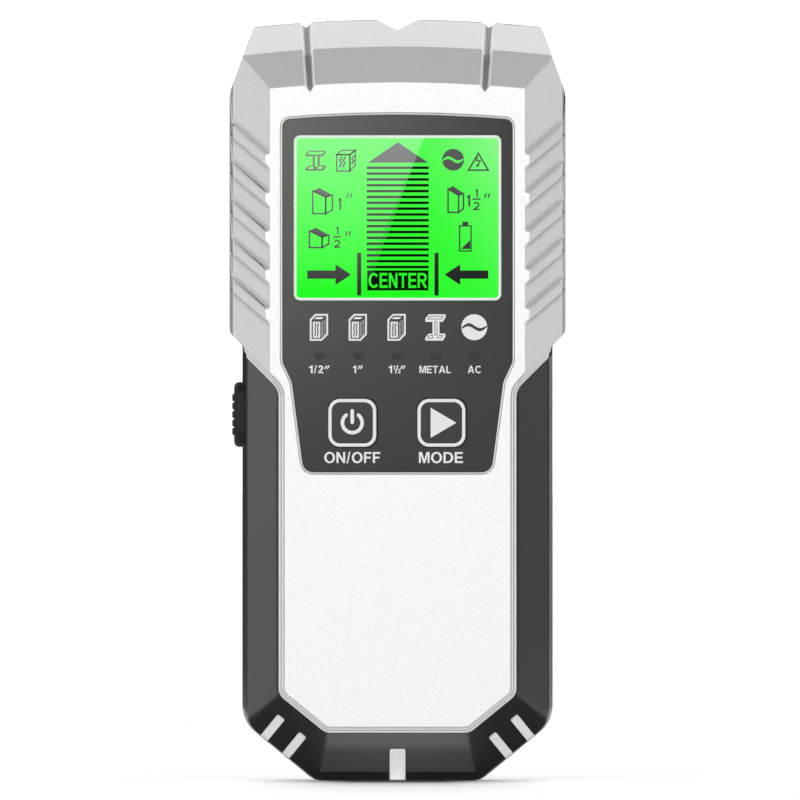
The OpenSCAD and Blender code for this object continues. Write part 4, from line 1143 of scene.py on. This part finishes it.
# Slanted card whose reflection lies over the display's left side, brightest at its top
bright_card, tree, shader, place = new_material("bright studio card", {}, "ShaderNodeEmission")
parts = add_node(tree, "ShaderNodeSeparateXYZ", {"Vector": place}).outputs
fall = add_node(tree, "ShaderNodeMapRange", {
    "Value": parts["Z"], "From Min": 0.12, "From Max": 0.198, "To Max": 4.3})
set_up(shader, {"Strength": fall})
# The heights beside the camera that the window mirrors, and two places (x, z) on the card's slanted edge
mirror_low = 2 * window_low.z * MM - camera_z - 0.012
mirror_high = 2 * window_high.z * MM - camera_z
edge_foot, edge_top = (-10.7 * MM, 139.0 * MM), (10.9 * MM, 197.4 * MM)


def card_edge(z):
    """The place of the card's slanted right edge at a height, in metres."""
    slant = (edge_top[0] - edge_foot[0]) / (edge_top[1] - edge_foot[1])
    return edge_top[0] + (z - edge_top[1]) * slant


card_y = camera.location.y
card_top = mirror_high + 0.01
studio_card("studio_card", [(-0.07, mirror_low), (card_edge(mirror_low), mirror_low),
                            (card_edge(card_top), card_top), (-0.07, card_top)], card_y, bright_card)
# Black card round it: the rest of the display's glass reflects darkness
studio_card("studio_black_card", [(-0.09, mirror_low - 0.02), (0.09, mirror_low - 0.02),
                                  (0.09, mirror_high + 0.02), (-0.09, mirror_high + 0.02)],
            card_y - 0.01, dark_card)


def softbox(name, place, target, size, power, only=None):
    """A soft rectangular lamp at a place, aimed at a target; it may light only one piece."""
    data = bpy.data.lights.new(name, "AREA")
    data.shape = "RECTANGLE"
    data.size, data.size_y = size
    data.energy = power
    lamp = bpy.data.objects.new(name, data)
    bpy.context.scene.collection.objects.link(lamp)
    lamp.location = place
    lamp.rotation_euler = (Vector(target) - Vector(place)).to_track_quat("-Z", "Y").to_euler()
    lamp.visible_camera = False
    if only:
        lit = bpy.data.collections.new(name + " pieces")
        lit.objects.link(only)
        lamp.light_linking.receiver_collection = lit
    return lamp


softbox("front left lamp", (-1.0, -1.5, 0.75), (-1.0, 0, 0.75), (1.8, 1.5), 13.8)
softbox("front right lamp", (1.0, -1.5, 0.75), (1.0, 0, 0.75), (1.8, 1.5), 11.2)
softbox("back lamp", (0, 2.0, 1.2), (0, 0, 0.09), (1.6, 0.6), 3.6)
# Lamps on the dark rubber alone: its side slopes, its right wall and the slope over the foot
for name, place, target, size, power in (
        ("left strip lamp", (-1.5, -0.05, 0.1), (0, -0.05, 0.1), (0.45, 0.3), 4.8),
        ("right strip lamp", (1.5, -0.05, 0.2), (0, -0.05, 0.2), (0.45, 0.4), 2.9),
        ("right rim lamp", (0.4, 1.0, 0.2), (0.04, 0, 0.08), (0.3, 0.4), 4.0),
        ("left floor lamp", (-0.165, -0.01, 0.002), (-0.165, -0.01, 1), (0.2, 0.1), 0.43),
        ("right floor lamp", (0.165, -0.01, 0.002), (0.165, -0.01, 1), (0.2, 0.1), 0.3),
        ("foot lamp", (0, -0.0385, 0.002), (0, -0.0385, 1), (0.034, 0.05), 0.036),
        ("foot fill lamp", (0, -0.0085, 0.002), (0, -0.0085, 1), (0.034, 0.01), 0.002)):
    softbox(name, place, target, size, power, grip)
# A lamp on the floor alone, which passes through the object: the paper stays white round it
floor_lamp = softbox("floor lamp", (0, 2.5, 0.8), (0, -0.3, 0), (0.5, 0.3), 60, floor)
floor_lamp.data.use_shadow = False

# The studio's air: white to the camera, a soft fill light to everything else
world = bpy.data.worlds.new("studio")
bpy.context.scene.world = world
world.use_nodes = True
tree = world.node_tree
ray = add_node(tree, "ShaderNodeLightPath", {}).outputs
level = add_node(tree, "ShaderNodeMapRange", {"Value": ray["Is Camera Ray"], "To Min": 0.3, "To Max": 1.0})
set_up(tree.nodes["Background"], {"Color": (1, 1, 1, 1), "Strength": level})

bpy.context.scene.view_settings.view_transform = "Standard"
